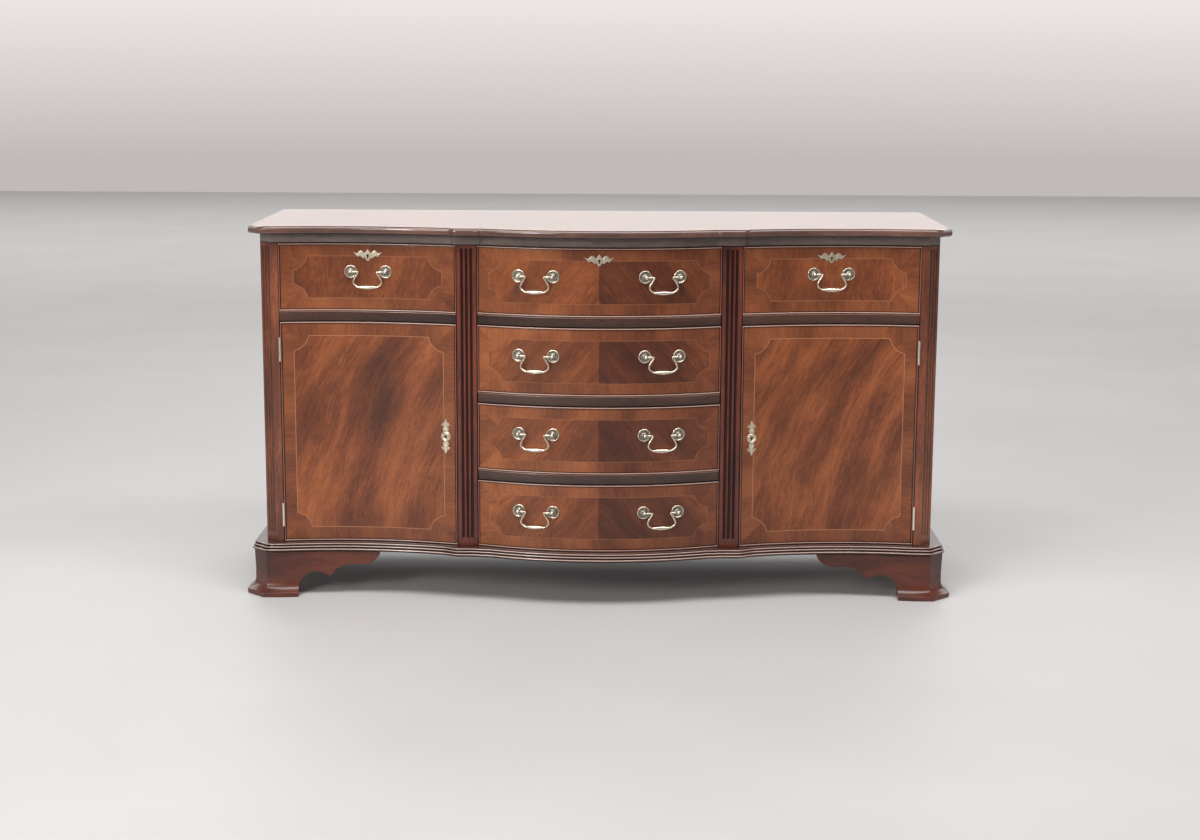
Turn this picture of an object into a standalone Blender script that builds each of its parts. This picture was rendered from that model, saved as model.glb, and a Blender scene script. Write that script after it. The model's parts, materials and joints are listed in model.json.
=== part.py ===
"""Serpentine-front sideboard.

Four bowed drawers stand between two fluted pilasters, with a drawer over a cupboard at each
side, canted corner posts and ogee bracket feet. Metres, +Z up. The front faces -Y, and the
origin is on the floor under the middle of the overall length and depth. Every board, lock
bolt, hinge leaf and handle is its own object, and what moves hangs on an empty that stands
on its joint's axis.
"""

import math

import bmesh
import bpy
from mathutils import Matrix, Vector

# Overall sizes.
TOP_LENGTH = 1.660
HEIGHT = 0.893
CORNER_DEPTH = 0.520            # top board, from its front corners to its back edge

# Clearances.
GAP = 0.0004                    # between boards that are glued or rest on each other
FRONT_GAP = 0.0012              # round a drawer front and above and below a door
DOOR_GAP = 0.0020               # beside a door
RUNNER_GAP = 0.0040             # beside a drawer's box

# Boards.
TOP_THICKNESS = 0.019
SUB_TOP_THICKNESS = 0.0225
BASE_THICKNESS = 0.020
PANEL = 0.020                   # side panels and partitions
BACK_THICKNESS = 0.006
BACK_INSET = 0.002
SHELF_THICKNESS = 0.016
SHELF_SETBACK = 0.012           # from the back of the corner posts
SHELF_HEIGHT = 0.390            # underside of each shelf, above the floor
RAIL_HEIGHT = 0.0245
RAIL_DEPTH = 0.040
EAR_SLANT = 0.003               # a dust board's ear, eased back behind the upright
DUST_PANEL = 0.008
FRONT_THICKNESS = 0.020         # drawer fronts and doors
BOX_SIDE = 0.012
BOX_BOTTOM = 0.008
BOX_HEADROOM = 0.020
BOX_BACK_ROOM = 0.030           # behind each drawer's box

# Overhangs and the plan of the front.
TOP_END_OVERHANG = 0.024
TOP_FRONT_OVERHANG = 0.028
TOP_BACK_OVERHANG = 0.005
TOP_CANT = 0.034
CASE_CANT = 0.030
BASE_CANT = 0.036
STILE_FACE = 0.0155             # flat face of a corner post, beside its cant
POST_DEPTH = 0.064
CENTRE_HALF = 0.289             # half the opening of the centre drawers
PILASTER_WIDTH = 0.047
PILASTER_DEPTH = 0.028
PILASTER_ADVANCE = 0.028        # how far the front stands forward at the pilasters
PILASTER_PROUD = 0.004          # a pilaster's face ahead of the drawer fronts
BOW_RISE = 0.060
SIDE_HOLLOW = 0.025
BLOCK_OUT = 0.007               # top and base step forward round each pilaster
BLOCK_MARGIN = 0.003
TOP_BLOCK_SLOPE = 0.011
BASE_BLOCK_SLOPE = 0.032

# Feet.
FOOT_HEIGHT = 0.108
FOOT_INSET = 0.006              # a foot's body inside the base board's edge
FOOT_THICKNESS = 0.022
FOOT_CANT = 0.033
FRONT_TOE = 0.109               # toe length along the front
SIDE_TOE = 0.080
BACK_TOE = 0.070
# A foot's outer face: height above the floor and how far it flares out there.
FOOT_PROFILE = ((0.0, 0.0195), (0.0105, 0.0200), (0.0130, 0.0165), (0.0180, 0.0092),
                (0.0250, 0.0035), (0.0350, 0.0004), (0.0600, 0.0), (FOOT_HEIGHT, 0.0018))
# A bracket's lower edge, from the toe: run, height, and the sagitta of the arc to there.
FRONT_BRACKET = ((0.0, 0.028, 0.0), (0.058, 0.054, 0.0145), (0.076, 0.0465, -0.0012),
                 (0.122, 0.0765, 0.0062), (0.166, 0.0765, -0.0016), (0.198, FOOT_HEIGHT, -0.0055))
SIDE_BRACKET = ((0.0, 0.028, 0.0), (0.046, 0.056, 0.0120), (0.062, 0.0485, -0.0012),
                (0.112, FOOT_HEIGHT, 0.0075))
BACK_BRACKET = ((0.0, 0.028, 0.0), (0.070, FOOT_HEIGHT, 0.0140))

# Moulded edges, from the underside up: height above the underside, and how far in from the
# board's outermost line. The top has a thumb mould, the base three stepped reeds.
TOP_PROFILE = ((0.0, 0.0060), (0.0035, 0.0018), (0.0080, 0.0002), (0.0120, 0.0), (0.0155, 0.0012),
               (0.0178, 0.0042), (TOP_THICKNESS, 0.0090))
REED_HEIGHTS = (0.0075, 0.0065, 0.0060)
REED_STEP = 0.0026
REED_DEPTH = 0.0026
BASE_PROJECTION = 0.032         # base board beyond the case, at its lowest reed

# Flutes of the pilasters and of the canted corners.
FLUTE_COUNT = 3
FLUTE_PITCH = 0.0108
FLUTE_RADIUS = 0.0036
FLUTE_AXIS_AHEAD = 0.0004       # a flute's centre line, ahead of the face
FLUTE_TOP_STOP = 0.006
FLUTE_BOTTOM_STOP = 0.018

# Hinges.
HINGE_LENGTH = 0.057
HINGE_END_DISTANCE = 0.037      # from a door's end to the hinge's near end
KNUCKLE_RADIUS = 0.0030
KNUCKLE_GAP = 0.0005
PIN_RADIUS = 0.0012
PIN_CLEARANCE = 0.0004
PIN_AHEAD = 0.0036              # the pin's axis, ahead of the post's face
LEAF_THICKNESS = 0.0011
LEAF_DEPTH = 0.0165             # leaf behind the front of the case
LEAF_SPLIT = 0.0006             # between the two leaves of a closed hinge

# Handles.
POST_SPACING = 0.083
HANDLE_BELOW_TOP = 0.0668
CENTRE_HANDLE_X = 0.148
POST_REACH = 0.0125             # from the drawer front to the middle of the post's head
POST_RADIUS = 0.0024
POST_FLARE = 0.0042
HEAD_RADIUS = 0.0046
POST_ROOT = 0.004               # post inside the drawer front
WIRE_RADIUS = 0.0020
ARM_RADIUS = 0.0016             # the bail's ends, inside the posts' heads
GRIP_RADIUS = 0.0049
BORE_CLEARANCE = 0.0005
ARM_LENGTH = 0.0195
BAIL_WIDEST = 0.0355            # half the bail's width, where the necks meet the grip's corners
BAIL_WIDEST_DROP = 0.0270
GRIP_HALF = 0.0210
BAIL_DROP = 0.0365

# Locks.
BOLT_WIDTH = 0.020
BOLT_THICKNESS = 0.004
BOLT_LENGTH = 0.016
BOLT_THROW = 0.006
BOLT_GAP = 0.0005
BOLT_INSET = 0.013              # bolt's middle behind the face of its front
BOLT_SETBACK = 0.0006           # retracted bolt inside the edge
MORTISE_ROOM = 0.002
DOOR_LOCK_HEIGHT = 0.393

# Smoothness.
BOW_STEPS = 16
HOLLOW_STEPS = 10
ROUND_SIDES = 12
POST_SIDES = 8
BAIL_CORNER_STEPS = 2
ARC_STEPS = 4

# Sizes that follow from those above.
FRONT_REACH = BASE_PROJECTION - TOP_FRONT_OVERHANG + PILASTER_ADVANCE + BOW_RISE
TOP_FRONT = (FRONT_REACH - CORNER_DEPTH) / 2
TOP_BACK = TOP_FRONT + CORNER_DEPTH
CASE_FRONT = TOP_FRONT + TOP_FRONT_OVERHANG
CASE_BACK = TOP_BACK - TOP_BACK_OVERHANG
CASE_HALF = TOP_LENGTH / 2 - TOP_END_OVERHANG
OPENING_OUTER = CASE_HALF - CASE_CANT - STILE_FACE
OPENING_INNER = CENTRE_HALF + PILASTER_WIDTH
OPENING_MIDDLE = (OPENING_OUTER + OPENING_INNER) / 2
PILASTER_MIDDLE = CENTRE_HALF + PILASTER_WIDTH / 2
POST_BACK = CASE_FRONT + POST_DEPTH
PILASTER_FRONT = CASE_FRONT - PILASTER_ADVANCE - PILASTER_PROUD
PILASTER_BACK = PILASTER_FRONT + PILASTER_DEPTH
SIDE_INNER = CASE_HALF - PANEL
PARTITION_INNER = PILASTER_MIDDLE - PANEL / 2
PARTITION_OUTER = PILASTER_MIDDLE + PANEL / 2
BACK_FACE = CASE_BACK - BACK_INSET - BACK_THICKNESS
BASE_BOTTOM = FOOT_HEIGHT + GAP
BASE_TOP = BASE_BOTTOM + BASE_THICKNESS
CASE_BOTTOM = BASE_TOP + GAP
TOP_BOTTOM = HEIGHT - TOP_THICKNESS
SUB_TOP_BOTTOM = TOP_BOTTOM - GAP - SUB_TOP_THICKNESS
CASE_TOP = SUB_TOP_BOTTOM - GAP
DRAWER_PITCH = (SUB_TOP_BOTTOM - BASE_TOP + RAIL_HEIGHT) / 4
OPENING_HEIGHT = DRAWER_PITCH - RAIL_HEIGHT
TOP_ROW_BOTTOM = SUB_TOP_BOTTOM - OPENING_HEIGHT
CUPBOARD_TOP = TOP_ROW_BOTTOM - RAIL_HEIGHT
BOX_BACK = BACK_FACE - BOX_BACK_ROOM
PIN_X = OPENING_OUTER - DOOR_GAP / 2
PIN_Y = CASE_FRONT - PIN_AHEAD

COLOURS = {                     # base colour, roughness, metallic
    "mahogany": ((0.16, 0.055, 0.03), 0.28, 0.0),
    "flame_mahogany": ((0.20, 0.07, 0.04), 0.25, 0.0),
    "dark_mahogany": ((0.09, 0.03, 0.02), 0.30, 0.0),
    "drawer_lining": ((0.42, 0.28, 0.16), 0.55, 0.0),
    "carcase_board": ((0.25, 0.15, 0.09), 0.60, 0.0),
    "aged_brass": ((0.60, 0.55, 0.42), 0.30, 1.0),
    "lock_steel": ((0.45, 0.44, 0.42), 0.40, 1.0),
}


# Scene and object helpers.

def empty_the_scene():
    for item in list(bpy.data.objects):
        bpy.data.objects.remove(item, do_unlink=True)


def new_collection(name):
    group = bpy.data.collections.new(name)
    bpy.context.scene.collection.children.link(group)
    return group


def make_materials(prefix):
    """One Principled material for each sub-part family, reused by its copies."""
    made = {}
    for name, (colour, roughness, metallic) in COLOURS.items():
        material = bpy.data.materials.new(prefix + name)
        material.use_nodes = True
        shader = material.node_tree.nodes["Principled BSDF"]
        shader.inputs["Base Color"].default_value = (*colour, 1.0)
        shader.inputs["Roughness"].default_value = roughness
        shader.inputs["Metallic"].default_value = metallic
        made[name] = material
    return made


def add_part(piece, finish, carrier=None):
    """Put a finished piece in the sideboard's collection, on its carrier if it moves."""
    material = MATERIALS[finish].copy()
    material.name = piece.name + "_finish"
    piece.data.materials.clear()
    piece.data.materials.append(material)
    for group in piece.users_collection:
        group.objects.unlink(piece)
    PARTS.objects.link(piece)
    if carrier is not None:
        bpy.context.view_layer.update()
        piece.data.transform(carrier.matrix_world.inverted() @ piece.matrix_world)
        piece.matrix_world = Matrix()
        piece.parent = carrier
    return piece


def add_tool(piece):
    """Keep a piece that only cuts or joins out of the finished work."""
    for group in piece.users_collection:
        group.objects.unlink(piece)
    TOOLS.objects.link(piece)
    piece.hide_render = True
    piece.display_type = "WIRE"
    return piece


def add_carrier(name, place, parent=None):
    """An empty on a joint's axis. The pieces that move together hang on it."""
    carrier = bpy.data.objects.new(name + "_carrier", None)
    carrier.empty_display_size = 0.03
    PARTS.objects.link(carrier)
    carrier.matrix_world = place
    if parent is not None:
        carrier.parent = parent
        carrier.matrix_parent_inverse = parent.matrix_world.inverted()
    bpy.context.view_layer.update()
    return carrier


def combine(piece, tool, operation):
    """Cut a piece with a tool, or join the tool to it."""
    step = piece.modifiers.new(operation.lower() + "_" + tool.name, "BOOLEAN")
    step.operation = operation
    step.solver = "EXACT"
    step.object = add_tool(tool)


def cut(piece, tool):
    combine(piece, tool, "DIFFERENCE")


def join(piece, tool):
    combine(piece, tool, "UNION")


def object_from_bmesh(form, name):
    mesh = bpy.data.meshes.new(name)
    form.to_mesh(mesh)
    form.free()
    piece = bpy.data.objects.new(name, mesh)
    bpy.context.scene.collection.objects.link(piece)
    return piece


# Shapes.

def box(name, low, high):
    """A rectangular board between two corners."""
    form = bmesh.new()
    size = [b - a for a, b in zip(low, high)]
    middle = [(a + b) / 2 for a, b in zip(low, high)]
    place = Matrix.Translation(middle) @ Matrix.Diagonal((*size, 1.0))
    bmesh.ops.create_cube(form, size=1.0, matrix=place)
    return object_from_bmesh(form, name)


def rod(name, radius, length, place, sides=ROUND_SIDES):
    """A round bar along its own Z, centred on place."""
    form = bmesh.new()
    bmesh.ops.create_cone(form, cap_ends=True, segments=sides, radius1=radius, radius2=radius,
                          depth=length, matrix=place)
    return object_from_bmesh(form, name)


def mesh_from_curve(curve_object, name):
    """The curve as a mesh object in the same place, its caps welded on and each one face."""
    bpy.context.view_layer.update()
    evaluated = curve_object.evaluated_get(bpy.context.evaluated_depsgraph_get())
    mesh = bpy.data.meshes.new_from_object(evaluated)
    mesh.name = name
    form = bmesh.new()
    form.from_mesh(mesh)
    bmesh.ops.remove_doubles(form, verts=form.verts, dist=0.00001)
    bmesh.ops.dissolve_limit(form, angle_limit=0.001, verts=form.verts, edges=form.edges)
    bmesh.ops.recalc_face_normals(form, faces=form.faces)
    form.to_mesh(mesh)
    form.free()
    place = curve_object.matrix_world.copy()
    bpy.data.objects.remove(curve_object, do_unlink=True)
    piece = bpy.data.objects.new(name, mesh)
    piece.matrix_world = place
    bpy.context.scene.collection.objects.link(piece)
    return piece


def new_curve(name, dimensions, points):
    """A curve object of one straight-sided spline through the points."""
    curve = bpy.data.curves.new(name, "CURVE")
    curve.dimensions = dimensions
    spline = curve.splines.new("POLY")
    spline.points.add(len(points) - 1)
    for target, point in zip(spline.points, points):
        target.co = (*point, 0.0)[:3] + (1.0,)
    curve_object = bpy.data.objects.new(name, curve)
    bpy.context.scene.collection.objects.link(curve_object)
    return curve_object


def flat_board(name, outline, thickness, place):
    """An outline in place's XY plane, as thick as given, centred on that plane."""
    curve_object = new_curve(name, "2D", outline)
    curve_object.data.splines[0].use_cyclic_u = True
    curve_object.data.fill_mode = "BOTH"
    curve_object.data.extrude = thickness / 2
    curve_object.matrix_world = place
    return mesh_from_curve(curve_object, name)


def plan_board(name, outline, bottom, top):
    """A level board from its outline seen from above."""
    return flat_board(name, outline, top - bottom, Matrix.Translation((0, 0, (bottom + top) / 2)))


def lofted(name, rings):
    """A closed solid through outlines of equal point counts, the lowest first."""
    form = bmesh.new()
    loops = [[form.verts.new(point) for point in ring] for ring in rings]
    for lower, upper in zip(loops, loops[1:]):
        for i in range(len(lower)):
            j = (i + 1) % len(lower)
            form.faces.new((lower[i], lower[j], upper[j], upper[i]))
    form.faces.new(reversed(loops[0]))
    form.faces.new(loops[-1])
    bmesh.ops.recalc_face_normals(form, faces=form.faces)
    return object_from_bmesh(form, name)


def turned(name, profile, place, sides=ROUND_SIDES):
    """A turned solid about place's Z, from (radius, height) points running downwards."""
    form = bmesh.new()
    points = [form.verts.new((radius, 0, height)) for radius, height in profile]
    for first, second in zip(points, points[1:]):
        form.edges.new((first, second))
    piece = object_from_bmesh(form, name)
    piece.matrix_world = place
    screw = piece.modifiers.new("turn", "SCREW")
    screw.axis = "Z"
    screw.angle = math.tau
    screw.steps = sides
    screw.render_steps = sides
    screw.use_merge_vertices = True
    screw.merge_threshold = 0.00001
    return piece


def arc(start, end, sagitta, steps):
    """Points after start up to end, on an arc that bulges to the left of its chord."""
    if sagitta == 0:
        return [end]
    start, end = Vector(start), Vector(end)
    chord = end - start
    radius = (chord.length_squared / 4 + sagitta ** 2) / (2 * sagitta)
    left = Vector((-chord.y, chord.x)).normalized()
    centre = (start + end) / 2 + left * (sagitta - radius)
    first = start - centre
    sweep = -2 * math.asin(chord.length / 2 / radius)
    turns = [Matrix.Rotation(sweep * i / steps, 2) for i in range(1, steps + 1)]
    return [tuple(centre + turn @ first) for turn in turns]


def arc_height(x, start, end, sagitta):
    """Height at x of an arc that rises sagitta above the chord from start to end."""
    start, end = Vector(start), Vector(end)
    chord = end - start
    radius = (chord.length_squared / 4 + sagitta ** 2) / (2 * abs(sagitta))
    up = Vector((-chord.y, chord.x)).normalized()
    side = math.copysign(1, sagitta)
    centre = (start + end) / 2 + up * (sagitta - side * radius)
    return centre.y + side * math.sqrt(radius ** 2 - (x - centre.x) ** 2)


# The plan of the front.

def advance(x):
    """How far the front at x stands ahead of its corners."""
    x = abs(x)
    if x >= OPENING_OUTER:
        return 0.0
    if x > OPENING_INNER:
        return arc_height(x, (OPENING_INNER, PILASTER_ADVANCE), (OPENING_OUTER, 0), -SIDE_HOLLOW)
    if x > CENTRE_HALF:
        return PILASTER_ADVANCE
    return arc_height(x, (-CENTRE_HALF, PILASTER_ADVANCE), (CENTRE_HALF, PILASTER_ADVANCE), BOW_RISE)


def front_y(x):
    return CASE_FRONT - advance(x)


def front_angle(x):
    """Turn about Z of the front's tangent at x."""
    reach = 0.001
    return math.atan2(front_y(x + reach) - front_y(x - reach), 2 * reach)


def front_points(start, end, steps, back=0.0):
    """Points along the front from start to end, set back by a distance."""
    stations = [start + (end - start) * i / steps for i in range(steps + 1)]
    return [(x, front_y(x) + back) for x in stations]


def block_out(x, slope):
    """How far a moulded board steps forward at x, round a pilaster."""
    beyond = abs(abs(x) - PILASTER_MIDDLE) - PILASTER_WIDTH / 2 - BLOCK_MARGIN
    t = min(max(1 - beyond / slope, 0), 1)
    return BLOCK_OUT * t * t * (3 - 2 * t)


def board_stations(slope, slope_steps):
    """The x of each point along a moulded board's front, left to right."""
    inner = CENTRE_HALF - BLOCK_MARGIN
    outer = OPENING_INNER + BLOCK_MARGIN
    runs = ((0, inner - slope, BOW_STEPS // 2), (inner - slope, inner, slope_steps),
            (inner, outer, 1), (outer, outer + slope, slope_steps),
            (outer + slope, OPENING_OUTER, HOLLOW_STEPS))
    half = [start + (end - start) * i / steps for start, end, steps in runs for i in range(steps)]
    half.append(OPENING_OUTER)
    return [-x for x in reversed(half[1:])] + half


def board_outline(ends, out, cant, back, slope, slope_steps):
    """A top or base board seen from above: ends is half its length, out its overhang."""
    corner = CASE_FRONT - out
    front = [(x, front_y(x) - block_out(x, slope) - out) for x in board_stations(slope, slope_steps)]
    left = [(-ends, back), (-ends, corner + cant), (-ends + cant, corner)]
    right = [(-x, y) for x, y in reversed(left)]
    return left + front + right


def moulded_board(name, bottom, profile, ends, out, cant, back, slope, slope_steps):
    """A board whose front and end edges follow a profile of (height, distance in) pairs."""
    rings = []
    for height, inward in profile:
        outline = board_outline(ends - inward, out - inward, cant, back, slope, slope_steps)
        rings.append([(x, y, bottom + height) for x, y in outline])
    return lofted(name, rings)


def reed_profile():
    """Three reeds, one on the other, each set back from the one below."""
    points = []
    height = 0.0
    for index, reed in enumerate(REED_HEIGHTS):
        inward = index * REED_STEP
        points.append((height, inward + REED_DEPTH))
        points.append((height + reed * 0.3, inward))
        points.append((height + reed * 0.7, inward))
        height += reed
    points.append((BASE_THICKNESS, (len(REED_HEIGHTS) - 1) * REED_STEP + REED_DEPTH))
    return points


# The case.

def flute(name, x, y, angle):
    """A round-ended groove cutter standing at x, y. Its face looks along the angle."""
    top = CASE_TOP - FLUTE_TOP_STOP
    bottom = CASE_BOTTOM + FLUTE_BOTTOM_STOP
    slant = FLUTE_RADIUS * math.sqrt(0.5)
    profile = ((0, top), (slant, top - FLUTE_RADIUS + slant), (FLUTE_RADIUS, top - FLUTE_RADIUS),
               (FLUTE_RADIUS, bottom + FLUTE_RADIUS), (slant, bottom + FLUTE_RADIUS - slant),
               (0, bottom))
    half_side = math.pi / ROUND_SIDES
    place = Matrix.Translation((x, y, 0)) @ Matrix.Rotation(angle + half_side, 4, "Z")
    return turned(name, profile, place)


def cut_flutes(piece, x, y, angle):
    """Flutes centred on x, y, side by side along the face's own direction."""
    along = Vector((math.cos(angle), math.sin(angle)))
    ahead = Vector((math.sin(angle), -math.cos(angle))) * FLUTE_AXIS_AHEAD
    for index in range(FLUTE_COUNT):
        shift = (index - (FLUTE_COUNT - 1) / 2) * FLUTE_PITCH
        spot = Vector((x, y)) + along * shift + ahead
        cut(piece, flute(f"{piece.name}_flute_{index + 1}", spot.x, spot.y, angle))


def hinge_heights():
    """The middles of the lower and the upper hinge."""
    low = BASE_TOP + FRONT_GAP + HINGE_END_DISTANCE + HINGE_LENGTH / 2
    high = CUPBOARD_TOP - FRONT_GAP - HINGE_END_DISTANCE - HINGE_LENGTH / 2
    return {"lower": low, "upper": high}


def leaf_seat(name, side, start, end, middle):
    """The shallow recess that a hinge leaf lies in, between two distances from the middle."""
    low, high = sorted((side * start, side * end))
    half = HINGE_LENGTH / 2 + GAP
    return box(name, (low, CASE_FRONT - PIN_AHEAD, middle - half),
               (high, CASE_FRONT + LEAF_DEPTH + GAP, middle + half))


def make_tops_and_base():
    top = moulded_board("top_board", TOP_BOTTOM, TOP_PROFILE, TOP_LENGTH / 2, TOP_FRONT_OVERHANG,
                        TOP_CANT, TOP_BACK, TOP_BLOCK_SLOPE, 1)
    add_part(top, "flame_mahogany")

    outline = board_outline(CASE_HALF, 0, CASE_CANT, CASE_BACK, TOP_BLOCK_SLOPE, 1)
    sub_top = plan_board("sub_top", outline, SUB_TOP_BOTTOM, SUB_TOP_BOTTOM + SUB_TOP_THICKNESS)
    for label, x in TOP_ROW.items():
        cut(sub_top, drawer_bolt_room("sub_top_mortise_" + label, x, SUB_TOP_BOTTOM - FRONT_GAP,
                                      SUB_TOP_BOTTOM + BOLT_THROW + MORTISE_ROOM))
    add_part(sub_top, "dark_mahogany")

    base = moulded_board("base_board", BASE_BOTTOM, reed_profile(), CASE_HALF + BASE_PROJECTION,
                         BASE_PROJECTION, BASE_CANT, CASE_BACK, BASE_BLOCK_SLOPE, 4)
    add_part(base, "mahogany")


def make_sides_and_partitions():
    for label, side in SIDES.items():
        low, high = sorted((side * SIDE_INNER, side * CASE_HALF))
        panel = box("side_panel_" + label, (low, POST_BACK + GAP, CASE_BOTTOM),
                    (high, CASE_BACK, CASE_TOP))
        add_part(panel, "mahogany")
        low, high = sorted((side * PARTITION_INNER, side * PARTITION_OUTER))
        partition = box("partition_" + label, (low, PILASTER_BACK + GAP, CASE_BOTTOM),
                        (high, BACK_FACE - GAP, CASE_TOP))
        add_part(partition, "carcase_board")
    half = SIDE_INNER - GAP
    back = box("back_panel", (-half, BACK_FACE, CASE_BOTTOM),
               (half, BACK_FACE + BACK_THICKNESS, CASE_TOP))
    add_part(back, "carcase_board")


def make_corner_posts():
    for label, side in SIDES.items():
        outline = [(OPENING_OUTER, CASE_FRONT), (CASE_HALF - CASE_CANT, CASE_FRONT),
                   (CASE_HALF, CASE_FRONT + CASE_CANT), (CASE_HALF, POST_BACK),
                   (OPENING_OUTER, POST_BACK)]
        post = plan_board("corner_post_" + label, [(side * x, y) for x, y in outline],
                          CASE_BOTTOM, CASE_TOP)
        middle = CASE_HALF - CASE_CANT / 2
        cut_flutes(post, side * middle, CASE_FRONT + CASE_CANT / 2, side * math.pi / 4)
        for level, height in hinge_heights().items():
            seat = leaf_seat(f"post_seat_{label}_{level}", side, OPENING_OUTER - DOOR_GAP,
                             PIN_X + LEAF_SPLIT / 2 + LEAF_THICKNESS + GAP, height)
            cut(post, seat)
        add_part(post, "mahogany")


def make_pilasters():
    for label, side in SIDES.items():
        low, high = sorted((side * (CENTRE_HALF + GAP), side * (OPENING_INNER - GAP)))
        pilaster = box("pilaster_" + label, (low, PILASTER_FRONT, CASE_BOTTOM),
                       (high, PILASTER_BACK, CASE_TOP))
        cut_flutes(pilaster, side * PILASTER_MIDDLE, PILASTER_FRONT, 0.0)
        mortise = door_bolt_room("pilaster_mortise_" + label, side,
                                 -(BOLT_THROW + MORTISE_ROOM), DOOR_GAP)
        cut(pilaster, mortise)
        add_part(pilaster, "mahogany")


def rail_board(name, opening, inner, outer, top):
    """A front rail with a thin dust panel behind it, level on top.

    The rail lies between the ends of its opening. Behind the pilaster or post the board
    widens to inner and outer, the faces of the uprights.
    """
    steps = BOW_STEPS if opening[0] < 0 < opening[1] else HOLLOW_STEPS
    ends = (opening[0] + GAP, opening[1] - GAP)
    shoulders = [PILASTER_BACK if abs(x) <= OPENING_INNER else POST_BACK for x in opening]
    left, right = [y + GAP for y in shoulders]
    front = front_points(*ends, steps)
    outline = front + [(ends[1], right), (outer - GAP, right + EAR_SLANT),
                       (outer - GAP, BACK_FACE - GAP), (inner + GAP, BACK_FACE - GAP),
                       (inner + GAP, left + EAR_SLANT), (ends[0], left)]
    board = plan_board(name, outline, top - RAIL_HEIGHT, top)
    room = front_points(inner - PANEL, outer + PANEL, steps, RAIL_DEPTH)
    room += [(outer + PANEL, CASE_BACK), (inner - PANEL, CASE_BACK)]
    below = plan_board(name + "_room", room, top - 2 * RAIL_HEIGHT, top - DUST_PANEL)
    cut(board, below)
    return board


def make_rails_and_shelves():
    for index in range(3):
        top = SUB_TOP_BOTTOM - OPENING_HEIGHT - index * DRAWER_PITCH
        rail = rail_board(f"dust_board_centre_{index + 1}", (-CENTRE_HALF, CENTRE_HALF),
                          -PARTITION_INNER, PARTITION_INNER, top)
        add_part(rail, "dark_mahogany")
    for label, side in SIDES.items():
        opening = sorted((side * OPENING_INNER, side * OPENING_OUTER))
        inner, outer = sorted((side * PARTITION_OUTER, side * SIDE_INNER))
        rail = rail_board("dust_board_" + label, opening, inner, outer, TOP_ROW_BOTTOM)
        add_part(rail, "dark_mahogany")
        shelf = box("shelf_" + label, (inner + GAP, POST_BACK + SHELF_SETBACK, SHELF_HEIGHT),
                    (outer - GAP, BACK_FACE - GAP, SHELF_HEIGHT + SHELF_THICKNESS))
        add_part(shelf, "carcase_board")


# The feet.

def bracket_outline(toe, bracket, reach):
    """What is cut away under a bracket, as run from the foot's corner and height."""
    points = [(toe, -FOOT_THICKNESS), (toe, bracket[0][1])]
    for run, height, sagitta in bracket[1:]:
        points += arc(points[-1], (toe + run, height), sagitta, ARC_STEPS)
    points[-1] = (toe + bracket[-1][0], FOOT_HEIGHT + GAP)
    points += [(toe + bracket[-1][0] + reach, FOOT_HEIGHT + GAP),
               (toe + bracket[-1][0] + reach, -FOOT_THICKNESS)]
    return points


def foot_ring(side, height, flare, run_end, side_end):
    """A front foot's outline at one height: two wings round the canted corner."""
    half = CASE_HALF + BASE_PROJECTION - FOOT_INSET
    out = BASE_PROJECTION - FOOT_INSET
    corner = CASE_FRONT - out
    slip = flare * math.tan(math.pi / 8)
    bend = half - FOOT_CANT
    hollow = [(x, y - out) for x, y in front_points(run_end, OPENING_OUTER, HOLLOW_STEPS)]
    outer = [(x, y - flare) for x, y in hollow]
    outer += [(bend + slip, corner - flare), (half + flare, corner + FOOT_CANT - slip),
              (half + flare, side_end)]
    inner_x = half - FOOT_THICKNESS
    inner = [(inner_x, side_end), (inner_x, corner + FOOT_CANT),
             (bend - FOOT_THICKNESS * math.tan(math.pi / 8), corner + FOOT_THICKNESS)]
    inner += [(x, y + FOOT_THICKNESS) for x, y in reversed(hollow)]
    ring = [(side * x, y, height) for x, y in outer + inner]
    return ring if side > 0 else ring[::-1]


def make_front_foot(label, side):
    half = CASE_HALF + BASE_PROJECTION - FOOT_INSET
    corner = CASE_FRONT - BASE_PROJECTION + FOOT_INSET
    run_end = half - FRONT_TOE - FRONT_BRACKET[-1][0]
    side_end = corner + SIDE_TOE + SIDE_BRACKET[-1][0]
    rings = [foot_ring(side, height, flare, run_end, side_end) for height, flare in FOOT_PROFILE]
    foot = lofted("foot_front_" + label, rings)
    upright = Matrix.Rotation(math.pi / 2, 4, "X")
    front = [(side * (half - run), height)
             for run, height in bracket_outline(FRONT_TOE, FRONT_BRACKET, FOOT_THICKNESS)]
    low = corner - PILASTER_ADVANCE - FOOT_HEIGHT
    high = corner + FOOT_THICKNESS + SIDE_HOLLOW
    place = Matrix.Translation((0, (low + high) / 2, 0)) @ upright
    cut(foot, flat_board("foot_front_cut_" + label, front, high - low, place))
    sideways = Matrix.Rotation(math.pi / 2, 4, "Z") @ upright
    wing = [(corner + run, height)
            for run, height in bracket_outline(SIDE_TOE, SIDE_BRACKET, FOOT_THICKNESS)]
    place = Matrix.Translation((side * half, 0, 0)) @ sideways
    cut(foot, flat_board("foot_side_cut_" + label, wing, 3 * FOOT_THICKNESS, place))
    add_part(foot, "mahogany")


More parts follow.
